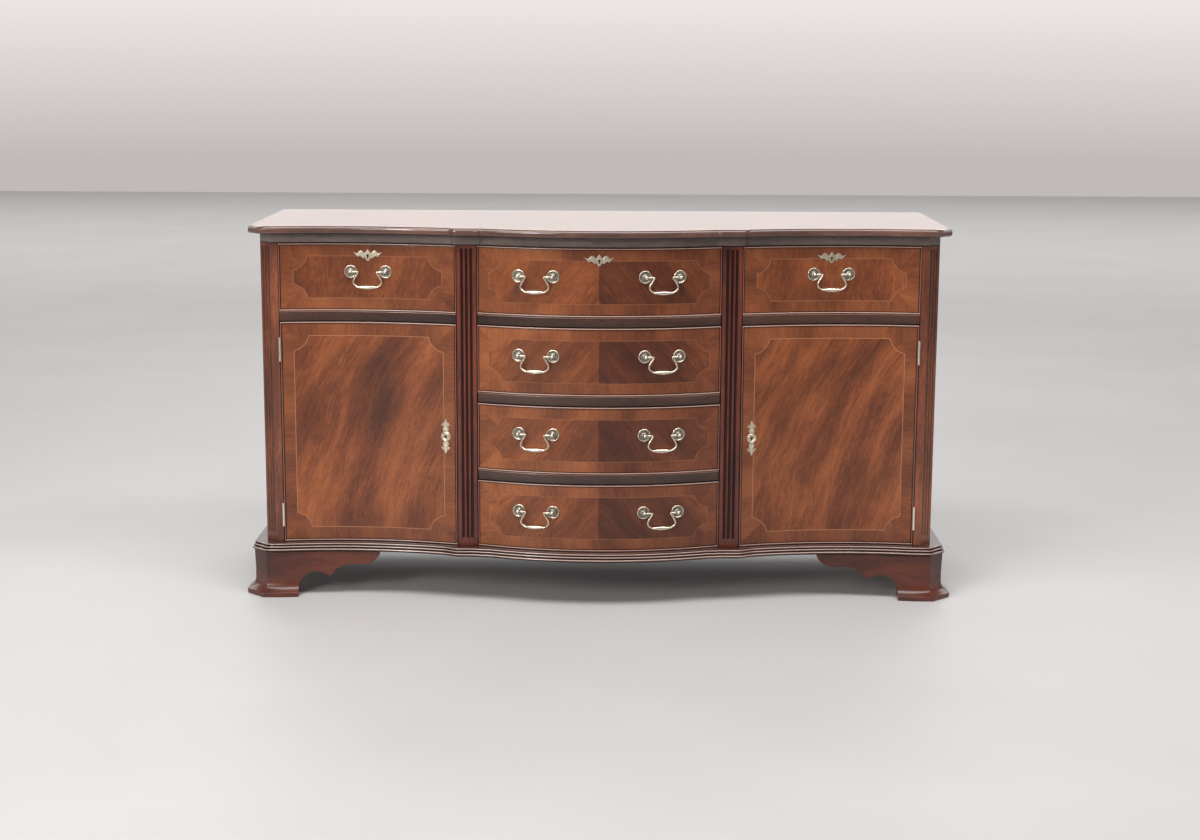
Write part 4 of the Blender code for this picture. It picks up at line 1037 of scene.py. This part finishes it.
def make_front(node, body, finish):
    """A front of three pieces: the board, the veneered panel on it and the bead round both."""
    low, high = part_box(node)
    x0, x1, z0, z1 = low[0], high[0], low[2], high[2]
    core = curved_board((x0 + JOINT, CASE_FRONT + VENEER_DEPTH, z0 + JOINT),
                        (x1 - JOINT, CASE_FRONT + FRONT_THICKNESS, z1 - JOINT))
    if "lock_bolt_" + body in frame["nodes"]:
        core = cut(core, *bolt_pocket(node, body))
    # Painted shade on the board where it shows in the groove between the bead and the veneer.
    face = CASE_FRONT + VENEER_DEPTH + 0.0010
    paint(core, "hollow", lambda co: co.y + advance(co.x) < face)
    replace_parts(finished(core, node + "_board", body, CORE_FINISH), node)
    inside = BEAD_WIDTH + BEAD_GROOVE
    panel = curved_board((x0 + inside, CASE_FRONT, z0 + inside),
                         (x1 - inside, CASE_FRONT + VENEER_DEPTH, z1 - inside))
    finished(panel, node + "_veneer", body, finish)
    finished(cock_bead(x0, x1, z0, z1), node + "_bead", body, BEAD_FINISH, 50)


def veneered(node, body, *leaf, **settings):
    """A front with its own leaf. leaf is the inlay's sizes, the seed, the lean and the sweep."""
    low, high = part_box(node)
    face = (low[0], low[2]), (high[0], high[2])
    make_front(node, body, banded_front("veneer_" + node, face, *leaf, **settings))


CENTRE_INLAY = (0.0275, 0.0295, 0.032)
SIDE_INLAY = (0.0340, 0.0300, 0.0335)
DOOR_INLAY = (0.0315, 0.0330, 0.0355)
for index in range(1, 5):
    veneered(f"drawer_front_centre_{index}", f"drawer_centre_{index}", CENTRE_INLAY,
             20.0 + 0.37 * index, 0.7, booked=True, figure=0.5, streak=0.6, string=0.28)
for side, seed in (("left", 31.0), ("right", 37.5)):
    veneered("drawer_front_" + side, "drawer_" + side, SIDE_INLAY, seed, 0.15,
             figure=0.6, streak=0.6, string=0.5)
    veneered("door_" + side, "door_" + side, DOOR_INLAY, seed + 3, 0.42, 0.35,
             figure=0.85, mottle=0.2, streak=0.9, string=0.85)

# %% [markdown]
# Swan-neck handles
#
# Each handle hangs between two turned posts. A post grows out of a dished rosette and ends in a
# ball. The post and its ball are one turning and the rosette another, so each outline is drawn
# once and spun. The bail is a wire of changing thickness: a ring is extruded along a path and
# scaled as it goes.


# %% Turned rosette and post
def handle_frames():
    """Each bail's place: X along its hinge line, Y into the wood, Z up."""
    places = {}
    for joint in frame["record"]["behaviour"]["joints"]:
        if joint["child"].startswith("bail"):
            along = -Vector(joint["axis"])
            up = Vector((0, 0, 1))
            into = up.cross(along)
            turn = Matrix((along, into, up)).transposed().to_4x4()
            places[joint["child"]] = (joint["parent"], Matrix.Translation(joint["pos_m"]) @ turn)
    return places


HANDLES = handle_frames()
POST_SPACING = 0.083
POST_REACH = 0.0125
# (radius, height) along each turning
DISH = [(0.0155, -0.0020), (0.0156, 0.0008), (0.0152, 0.0019), (0.0144, 0.0025), (0.0134, 0.0025),
        (0.0126, 0.0018), (0.0119, 0.0007), (0.0100, 0.0003), (0.0078, 0.0003), (0.0064, 0.0008),
        (0.0056, 0.0016), (0.0050, 0.0024), (0.0040, 0.0028), (0.0, 0.0029)]
STEM = [(0.0038, -0.0010), (0.0034, 0.0036), (0.0027, 0.0052), (0.0025, 0.0072), (0.0031, 0.0084)]
BALL_RADIUS = 0.0048
BALL_START = math.radians(40)
BALL_STEPS = 9
DISH_HOLLOW = (0.0040, 0.0124)
STEM_SHADE_END = 0.0076


def closed(bm):
    """The bmesh with its open rims filled and its faces turned out."""
    bmesh.ops.holes_fill(bm, edges=[e for e in bm.edges if e.is_boundary], sides=0)
    bmesh.ops.recalc_face_normals(bm, faces=bm.faces)
    return bm


def turned(profile, steps):
    """A closed turning about Y from (radius, height) points; heights run towards -Y."""
    bm = bmesh.new()
    points = [bm.verts.new((radius, -height, 0)) for radius, height in profile]
    edges = [bm.edges.new(pair) for pair in zip(points, points[1:])]
    bmesh.ops.spin(bm, geom=points + edges, cent=(0, 0, 0), axis=(0, 1, 0), angle=math.tau,
                   steps=steps, use_merge=True)
    bmesh.ops.remove_doubles(bm, verts=bm.verts, dist=NEAR / 2)
    return closed(bm)


def ball_profile():
    """The stem and the ball it ends in, whose middle is on the bail's hinge line."""
    angles = [BALL_START + (math.pi - BALL_START) * i / BALL_STEPS for i in range(BALL_STEPS)]
    ball = [(BALL_RADIUS * math.sin(a), POST_REACH - BALL_RADIUS * math.cos(a)) for a in angles]
    return STEM + ball + [(0.0, POST_REACH + BALL_RADIUS)]


def in_dish(co):
    return 0.85 if DISH_HOLLOW[0] < math.hypot(co.x, co.z) < DISH_HOLLOW[1] else 0.0


def make_rosettes(name, body, place):
    parts = []
    for hand in (-1, 1):
        post = turned(ball_profile(), 24)
        # Painted shade along the stem, under the ball and down to the rosette.
        paint(post, "hollow", lambda co: 0.9 if co.y > -STEM_SHADE_END else 0.0)
        spot = place @ Matrix.Translation((hand * POST_SPACING / 2, POST_REACH, 0))
        move(post, spot)
        dish = turned(DISH, 32)
        paint(dish, "hollow", in_dish)
        move(dish, front_place(spot.translation.x, spot.translation.z))
        parts += [post, dish]
    finished(merged(parts), name, body, HANDLE_BRASS, 60)


for bail, (drawer, place) in HANDLES.items():
    make_rosettes(bail.replace("bail", "rosettes"), drawer, place)
print("handles:", len(HANDLES))

# %% [markdown]
# The bail's path is half drawn: an arm from the post inwards, a tight elbow, a neck that sweeps
# outwards and down, a round corner, and a grip that swells like a barrel. Mirrored, it makes the
# whole. Each point carries its own thickness.

# %% The bails
ARM_END = POST_SPACING / 2 - 0.0005
ELBOW = (0.0212, 0.0002)
BAIL_WIDEST = (0.0382, -0.0268)
GRIP_START = (0.0225, -0.0358)
WIRE_RADIUS = 0.0022
GRIP_RADIUS = 0.0052
GRIP_SAG = 0.0008
GRIP_STEPS = 7
# (distance back along the arm, radius)
ARM = ((0, 0.0016), (0.0045, 0.0019), (0.0062, 0.0029), (0.0092, 0.0033), (0.0125, 0.0031),
       (0.0152, 0.0025))


def corner_arc(before, corner, after, cut_back, steps):
    """A smooth turn at a corner, cut back the same distance on both sides."""
    before, corner, after = Vector(before), Vector(corner), Vector(after)
    start = corner + (before - corner).normalized() * cut_back
    end = corner + (after - corner).normalized() * cut_back
    return [start * (1 - t) ** 2 + corner * 2 * t * (1 - t) + end * t * t
            for t in [i / steps for i in range(steps + 1)]]


def bail_half():
    """(point, radius) from the end of the arm to the grip's middle."""
    arm = [(Vector((ARM_END - back, 0)), radius) for back, radius in ARM]
    elbow = [(point, WIRE_RADIUS) for point in corner_arc(arm[-1][0], ELBOW, BAIL_WIDEST, 0.0030, 6)]
    neck = [(point, WIRE_RADIUS) for point in corner_arc(ELBOW, BAIL_WIDEST, GRIP_START, 0.0135, 8)]
    grip = []
    for t in [i / GRIP_STEPS for i in range(GRIP_STEPS + 1)]:
        swell = math.sin(math.pi / 2 * t)
        grip.append((Vector((GRIP_START[0] * (1 - t), GRIP_START[1] - GRIP_SAG * swell)),
                     WIRE_RADIUS + (GRIP_RADIUS - WIRE_RADIUS) * swell))
    return arm + elbow + neck + grip


def tube(path, sides):
    """A round bar through (point, radius) pairs in the XZ plane, made by extruding one ring."""
    bm = bmesh.new()
    points = [Vector((p.x, 0, p.y)) for p, _ in path]
    ring = bmesh.ops.create_circle(bm, cap_ends=True, segments=sides, radius=1.0)["verts"]
    last = None
    for index, (point, (_, radius)) in enumerate(zip(points, path)):
        ahead = points[min(index + 1, len(points) - 1)] - points[max(index - 1, 0)]
        turn = Vector((0, 0, 1)).rotation_difference(ahead).to_matrix().to_4x4()
        place = Matrix.Translation(point) @ turn @ Matrix.Scale(radius, 4)
        change = place
        if last:
            edges = {e for v in ring for e in v.link_edges if e.other_vert(v) in ring}
            grown = bmesh.ops.extrude_edge_only(bm, edges=list(edges))
            ring = [g for g in grown["geom"] if isinstance(g, bmesh.types.BMVert)]
            change = place @ last.inverted()
        bmesh.ops.transform(bm, matrix=change, verts=ring)
        last = place
    return closed(bm)


half = bail_half()
bail_path = [(Vector((-p.x, p.y)), r) for p, r in half] + half[-2::-1]
for bail, (drawer, place) in HANDLES.items():
    bm = tube(bail_path, 14)
    # The upper part of the bail, by the posts, is a little darker.
    paint(bm, "hollow", lambda co: 0.25 if co.z > -0.004 else 0.0)
    move(bm, place)
    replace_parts(finished(bm, bail + "_cast", bail, HANDLE_BRASS, 60), bail)
print("points along a bail:", len(bail_path))

# %% [markdown]
# Keyhole plates
#
# Cast plates guard the keyholes: winged ones lie across the drawers, and upright ones with
# barbed ends stand on the doors. Half of each outline is drawn as a few short runs, and each run
# is a smooth curve that starts and ends in a point or a notch, as a piercing saw would cut it.
# The plate is extruded, its front edge is rounded, and smaller leaves are laid on it as relief.

# %% Outlines and plates
MM = 0.001
DRAWER_PLATE = [[(0, 15.0), (3.0, 11.0), (6.0, 7.2), (8.4, 5.6)],
                [(8.4, 5.6), (11.2, 9.6), (15.8, 12.3), (20.2, 10.8), (23.8, 6.8), (27.0, 5.5),
                 (30.4, 6.4), (34.2, 8.2)],
                [(34.2, 8.2), (31.8, 4.4), (27.8, 1.2), (24.4, -3.7)],
                [(24.4, -3.7), (21.0, -1.8), (17.6, -1.6), (13.8, -4.2), (10.2, -7.8)],
                [(10.2, -7.8), (8.4, -5.6), (6.2, -5.4)],
                [(6.2, -5.4), (4.6, -9.0), (2.4, -11.8), (0, -12.8)]]
DRAWER_SHIELD = [[(0, 11.6), (2.8, 8.0), (4.9, 3.4), (4.9, -1.6), (3.4, -6.8), (0, -10.0)]]
DRAWER_LEAF = [(9.2, 2.6), (12.2, 7.0), (16.2, 9.4), (20.0, 7.4), (24.4, 3.6), (29.6, 4.8), (25.4, 0.6),
               (20.6, 0.6), (15.6, -0.8), (11.4, -3.6)]
DOOR_PLATE = [[(0, 43.0), (2.0, 39.6), (3.6, 35.8), (3.7, 33.0)],
              [(3.7, 33.0), (6.6, 33.2), (9.2, 30.2), (11.4, 25.0)],
              [(11.4, 25.0), (8.0, 25.8), (5.0, 24.4)],
              [(5.0, 24.4), (7.2, 20.6), (7.2, 15.8), (5.4, 10.9)],
              [(5.4, 10.9), (9.4, 7.6), (11.6, 3.8), (12.2, 0)]]
DOOR_LEAF = [[(0, 38.6), (1.9, 34.4), (1.9, 29.0), (1.3, 25.4)],
             [(1.3, 25.4), (4.4, 20.8), (3.9, 16.6), (0, 13.8)]]
PLATE_DEPTH = 0.0017
RELIEF = 0.0009
PLATE_EASE = 0.0004
PLATE_GRIME = 0.42
CURVE_STEPS = 3
# Radii of the ring bosses and of their wires
DOOR_RINGS = ((0.0094, 0.0019), (0.0058, 0.0008))
HOLE_RADIUS, HOLE_NECK, HOLE_FOOT, HOLE_DROP = 3.1, 1.2, 1.9, -7.0
HOLE_STEPS = 18
HOLE_DEPTH = 0.0006


def smooth_run(points):
    """Points of a smooth curve through the given ones, without the last."""
    run = []
    padded = [Vector(p) for p in (points[0], *points, points[-1])]
    for a, b, c, d in zip(padded, padded[1:], padded[2:], padded[3:]):
        for t in [i / CURVE_STEPS for i in range(CURVE_STEPS)]:
            run.append(0.5 * (2 * b + (c - a) * t + (2 * a - 5 * b + 4 * c - d) * t ** 2
                              + (3 * b - a - 3 * c + d) * t ** 3))
    return run


def whole_outline(runs, four_fold=False):
    """The closed outline from its right half, or from its upper right quarter."""
    half = [p for run in runs for p in smooth_run(run)] + [Vector(runs[-1][-1])]
    if four_fold:
        half += mirror_y(half[-2::-1])
    return half + mirror_x(half[-2:0:-1])


def mirror_x(points):
    return [Vector((-p.x, p.y)) for p in points]


def mirror_y(points):
    return [Vector((p.x, -p.y)) for p in points]


def cast_plate(outline, back=0, ahead=PLATE_DEPTH + RELIEF, ease=PLATE_EASE, dirt_and_shade=0.0):
    """A plate in the XZ plane between two depths, with its front edge rounded."""
    bm = bmesh.new()
    face = bm.faces.new([bm.verts.new((p.x * MM, -back, p.y * MM)) for p in outline])
    grown = bmesh.ops.extrude_face_region(bm, geom=[face])
    raised = [g for g in grown["geom"] if isinstance(g, bmesh.types.BMVert)]
    bmesh.ops.translate(bm, vec=(0, back - ahead, 0), verts=raised)
    bmesh.ops.recalc_face_normals(bm, faces=bm.faces)
    rim = [e for e in bm.edges if edge_at(e, 1, -ahead)]
    bevel(bm, rim, ease, 2)
    bmesh.ops.triangulate(bm, faces=[f for f in bm.faces if len(f.verts) > 4])
    paint(bm, "hollow", lambda co: 0.9 if co.y > -(back + ahead) / 2 else dirt_and_shade)
    return bm


def ring_boss(radius, wire, depth):
    """A raised ring round a keyhole, spun from a small circle."""
    bm = bmesh.new()
    bmesh.ops.create_circle(bm, cap_ends=False, segments=12, radius=wire,
                            matrix=Matrix.Translation((radius, 0, 0)))
    bmesh.ops.spin(bm, geom=bm.verts[:] + bm.edges[:], cent=(0, 0, 0), axis=(0, 1, 0),
                   angle=math.tau, steps=32, use_merge=True)
    bmesh.ops.remove_doubles(bm, verts=bm.verts, dist=NEAR / 2)
    bmesh.ops.recalc_face_normals(bm, faces=bm.faces)
    move(bm, Matrix.Translation((0, -depth, 0)))
    paint(bm, "hollow", lambda co: 0.0)
    return bm


def keyhole(depth):
    """A round hole with a slot below it, as a thin dark inlay."""
    angles = [math.radians(20 + 320 * i / HOLE_STEPS) for i in range(HOLE_STEPS + 1)]
    outline = [Vector((-HOLE_RADIUS * math.sin(a), -HOLE_RADIUS * math.cos(a))) for a in angles]
    slot = [Vector((HOLE_NECK, -HOLE_RADIUS)), Vector((HOLE_FOOT, HOLE_DROP))]
    return cast_plate(outline + slot + mirror_x(slot[::-1]), depth - HOLE_DEPTH, depth, 0.00008)


def make_plate(label, body, place, parts, hole_depth):
    whole = merged(parts)
    hole = keyhole(hole_depth)
    for bm in (whole, hole):
        move(bm, place)
    finished(whole, "keyhole_plate_" + label, body, PLATE_BRASS, 40)
    finished(hole, "keyhole_" + label, body, KEYHOLE, 40)


def drawer_plate_parts():
    leaf = smooth_run(DRAWER_LEAF + DRAWER_LEAF[:1])
    return [cast_plate(whole_outline(DRAWER_PLATE), -0.0015, PLATE_DEPTH, dirt_and_shade=PLATE_GRIME),
            cast_plate(whole_outline(DRAWER_SHIELD)), cast_plate(leaf), cast_plate(mirror_x(leaf))]


def door_plate_parts():
    leaf = whole_outline(DOOR_LEAF)
    return [cast_plate(whole_outline(DOOR_PLATE, True), -0.0010, PLATE_DEPTH, dirt_and_shade=PLATE_GRIME),
            cast_plate(leaf), cast_plate(mirror_y(leaf)),
            *(ring_boss(radius, wire, PLATE_DEPTH) for radius, wire in DOOR_RINGS)]


PLATE_BELOW_TOP = 0.0285
LOCK_HEIGHT = 0.393
PLATE_FROM_EDGE = 0.0285
# The middle and the upper edge of each drawer that locks
LOCKED_DRAWERS = {}
for name in ("left", "centre_1", "right"):
    low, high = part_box("drawer_front_" + name)
    LOCKED_DRAWERS["drawer_" + name] = ((low[0] + high[0]) / 2, high[2])
for body, (middle, upper_edge) in LOCKED_DRAWERS.items():
    place = front_place(middle, upper_edge - PLATE_BELOW_TOP)
    make_plate(body, body, place, drawer_plate_parts(), PLATE_DEPTH + RELIEF + 0.0002)
for side, sign in (("left", -1), ("right", 1)):
    place = front_place(sign * (OPENING_INNER + PLATE_FROM_EDGE), LOCK_HEIGHT)
    make_plate("door_" + side, "door_" + side, place, door_plate_parts(), PLATE_DEPTH + 0.0004)

# %% [markdown]
# Lock cases
#
# Behind each keyhole a small lock is screwed to the inside of the front, which only an open
# drawer or door shows. It is a shallow cased box with its screws.

# %% The lock cases
CASE_WIDE, CASE_HIGH, CASE_DEEP = 0.052, 0.034, 0.0085
SCREW_INSET = 0.006
SCREW_SIZES = {"radius1": 0.0026, "radius2": 0.0018, "depth": 0.0016}


def lock_case(body, x, z, wide, high):
    back = front_y(x) + FRONT_THICKNESS
    parts = [board((x - wide / 2, back - 0.0006, z - high / 2),
                   (x + wide / 2, back + CASE_DEEP, z + high / 2), 0.0008)]
    for sx in (-1, 1):
        for sz in (-1, 1):
            spot = Matrix.Translation((x + sx * (wide / 2 - SCREW_INSET), back + CASE_DEEP,
                                       z + sz * (high / 2 - SCREW_INSET)))
            screw = bmesh.new()
            bmesh.ops.create_cone(screw, cap_ends=True, segments=14, **SCREW_SIZES,
                                  matrix=spot @ Matrix.Rotation(-math.pi / 2, 4, "X"))
            parts.append(screw)
    finished(merged(parts), "lock_case_" + body, body, LOCK_STEEL, 40)


for body, (middle, upper_edge) in LOCKED_DRAWERS.items():
    lock_case(body, middle, upper_edge - CASE_HIGH / 2 - 0.001, CASE_WIDE, CASE_HIGH)
for side, sign in (("left", -1), ("right", 1)):
    lock_case("door_" + side, sign * (OPENING_INNER + CASE_HIGH / 2 + 0.003), LOCK_HEIGHT,
              CASE_HIGH, CASE_WIDE)

# %% [markdown]
# Floor and light
#
# The floor is plain and pale. Wide soft lights stand round the piece: a warm one high on the
# left with a small bright window beside it, one overhead, a faint one on the right, and a broad
# one behind that the polished top mirrors, as it would mirror a bright wall. One more lights the
# floor far behind, so that it meets the pale room without a hard line.


# %% The stage
FLOOR_HALF = 14.0


def make_floor():
    bm = bmesh.new()
    bmesh.ops.create_grid(bm, x_segments=8, y_segments=8, size=FLOOR_HALF)
    floor = linked("pale_floor", mesh_of(bm, "pale_floor"))
    floor.data.materials.append(clouded("pale_floor_paint", 1.7, 3.0, (0.50, 0.495, 0.49),
                                        (0.53, 0.525, 0.52), 0.6))


def soft_light(name, place, target, size, power, tint=(1, 1, 1)):
    light = bpy.data.lights.new(name, "AREA")
    light.shape = "RECTANGLE"
    light.size, light.size_y = size
    light.energy = power
    light.color = tint
    lamp = linked(name, light)
    lamp.location = place
    lamp.rotation_euler = (Vector(target) - Vector(place)).to_track_quat("-Z", "Y").to_euler()


make_floor()
soft_light("key_soft", (-2.6, -4.4, 2.6), (-0.1, 0, 0.5), (2.2, 1.8), 76, (1.0, 0.97, 0.93))
soft_light("window_spark", (-2.3, -4.3, 2.3), (0, 0, 0.4), (0.5, 1.0), 34)
soft_light("overhead_soft", (0, -1.3, 3.0), (0, -0.3, 0.4), (4.4, 1.2), 115)
soft_light("right_soft", (3.6, -3.2, 1.9), (0, -0.1, 0.5), (1.6, 1.8), 5)
soft_light("back_soft", (0, 3.6, 3.2), (0, 0.2, 0.9), (5.0, 1.6), 60)
soft_light("far_floor_soft", (0, 9.0, 5.5), (0, 8.5, 0), (22.0, 7.0), 850)


def pale_room():
    """A room that is pale near the horizon behind the piece, dimmer overhead and in front."""
    world = bpy.data.worlds.new("pale_room")
    bpy.context.scene.world = world
    world.use_nodes = True
    t = Tree(world.node_tree)
    background = world.node_tree.nodes["Background"]
    _, away, height = t.split(t.node("ShaderNodeTexCoord").outputs["Generated"])
    low = t.remap(height, -0.05, 0.05, 0.56, 1.0)
    high = t.remap(height, 0.12, 0.45, 0.94, 0.28)
    ahead = t.remap(away, -0.5, 0.5, 0.45, 1.0)
    t.feed(background.inputs, {"Strength": t.times(t.times(low, high), ahead),
                               "Color": (1.0, 0.94, 0.925, 1)})


pale_room()
bpy.context.scene.view_settings.view_transform = "Standard"
print("lights:", len(bpy.data.lights))

# %% [markdown]
# The camera
#
# A long lens, far back, keeps the uprights upright and shows the bow by its shading more than
# by its outline. The camera stands a little above the top's height, looks slightly down, and
# is turned by a fraction of a degree, as a camera held by hand would be.

# %% The camera
VIEW_PLACE = (0.0367, -4.9340, 1.2943)
VIEW_YAW, VIEW_PITCH, VIEW_ROLL = 0.00713, -0.17981, 0.00462
FOCAL_LENGTH = 60.51

lens = bpy.data.cameras.new("front_camera")
lens.sensor_width = 36.0
lens.lens = FOCAL_LENGTH
camera = linked("front_camera", lens)
camera.matrix_world = (Matrix.Translation(VIEW_PLACE) @ Matrix.Rotation(VIEW_YAW, 4, "Z")
                       @ Matrix.Rotation(math.pi / 2 + VIEW_PITCH, 4, "X")
                       @ Matrix.Rotation(VIEW_ROLL, 4, "Z"))
bpy.context.scene.camera = camera
print("camera height:", VIEW_PLACE[2], "and distance from the middle:", -VIEW_PLACE[1])
